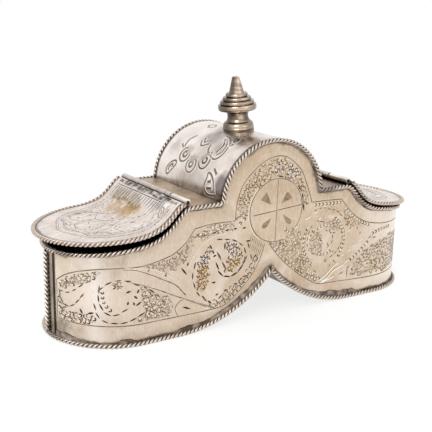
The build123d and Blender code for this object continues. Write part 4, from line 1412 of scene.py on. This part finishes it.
def tongue(inset):
    """The lid's outline, moved in from its edge."""
    nose, half = 60.5 - inset, 33.5 - inset
    one_side = [(7, half), (22.0, half), (36, half * 0.93), (47, half * 0.74), (nose - 4, half * 0.45)]
    return curved(one_side + [(nose, 0)] + [(down, -y) for down, y in one_side[::-1]])


feathers = [np.array([(4.6, y), (7.5, y + 0.4), (10.6 + 1.2 * sin(2 * y), y + 1.0)])
            for y in np.arange(-18, 28, 2.7)]
lid_scrolls = curves(
    [(18, -20), (24, -24), (31, -21), (32, -14), (27, -10), (22, -13)],
    [(30, 20), (37, 22), (43, 17), (42, 10), (36, 8)],
    [(34, -6), (41, -9), (47, -4), (46, 4), (40, 7), (35, 3)], [(20, 24), (27, 26), (31, 22), (28, 17)],
    [(24, -4), (30, 0), (33, 6), (30, 12)], [(14, -14), (20, -8), (21, 0)], [(38, -18), (44, -15), (47, -10)],
    [(48, 14), (50, 8), (51, 0), (49, -7)], [(22, 8), (26, 12), (25, 18)], [(12, 22), (18, 20), (22, 14)])
lid_lines = curves(
    [(16, 6), (24, 4), (34, 6), (46, 3)], [(17, -3), (26, -6), (36, -13), (44, -14)],
    [(20, 10), (30, 14), (42, 12)], [(5, -30), (11, -28.8), (17, -28.6)],
    [(6, -28.4), (12, -27), (19, -26.4), (26, -25)], [(11, -20), (20, -26)])
lid_middle = [(16, -24), (30, -26), (44, -20), (50, -8), (50, 8), (44, 20), (30, 26), (16, 24)]
lid_specks = filled(lid_middle, 6.5, 70, lid_scrolls, 1.2)
eyes = curves([(6.2, -22.5), (8.5, -22.6), (11.5, -25), (12, -27.4), (9, -27), (6.6, -24.6), (6.2, -22.5)],
              [(8, -24), (9.6, -25.4)], [(47, 1.5), (46.5, -1.8)])
lid_work = [
    ("border", [tongue(4.4), tongue(8.5)], dash_mark, pale_cut, (0.55, 0.75), 2.4, 5),
    ("border_lines", [tongue(5.4), tongue(7.6)], fine_groove, pale_cut, (0.6, 0.6)),
    ("feathers", feathers, lobe_groove, feather_cut, (1.0, 0.6)),
    ("hinge_lines", curves([(4.2, -19), (4.1, 0), (4.2, 29)]), lobe_groove, feather_cut, (0.7, 0.7)),
    ("scrolls", lid_scrolls, dash_mark, pale_cut, (0.6, 0.85), 2.9, 6),
    ("scallops", [tongue(10.5)], curl_mark, pale_cut, (0.4, 0.6), 3.4, 5),
    ("specks", [lid_specks], dash_mark, dark_cut, (0.35, 0.8), 0, 7),
    ("lines", lid_lines, fine_groove, pale_cut, (0.5, 1.0)),
    ("eyes", eyes, broad_groove, pale_cut, (0.8, 0.8))]
solder_hump = section("solder_hump", [(-0.05, -1.9, 1, 0), (0.16, -1.1, 0.6, 0), (0.3, 0, 0.3, 0),
                                      (0.18, 1.1, 0.6, 0), (-0.05, 1.7, 0.5, 0)])
seam_down = 1.7
seam_half = 31
seam = np.array([(seam_down, y) for y in np.linspace(-seam_half, seam_half, 120)])
seam_girth = np.interp(seam[:, 1], [-seam_half, -22, -14, -6, 8, 20, seam_half],
                       [0.5, 0.5, 1.2, 0.7, 1.1, 0.8, 0.5])
for side, surface_of, way in (("left", on_left_lid, -1), ("right", on_right_lid, 1)):
    engrave(side + "_lid_", lid_work, surface_of, side + "_lid", "lid_sheet")
    path = surface_of(seam[::way, 0], seam[::way, 1])
    sweep_tool.use(side + "_lid_hinge_solder", [path], side + "_lid", "lid_sheet", girths=[seam_girth[::way]],
                   Section=solder_hump, Step=0.6 * mm, Ragged=3.0 * mm, Grain=3 * mm, Material=pale_tin)

# %% Put the patterns away
for shape in (rim_solder, base_solder, solder_hump, dash_mark, ring_mark, curl_mark, hatch_mark, fine_groove,
              broad_groove, side_groove, lobe_groove):
    bpy.data.objects.remove(shape)
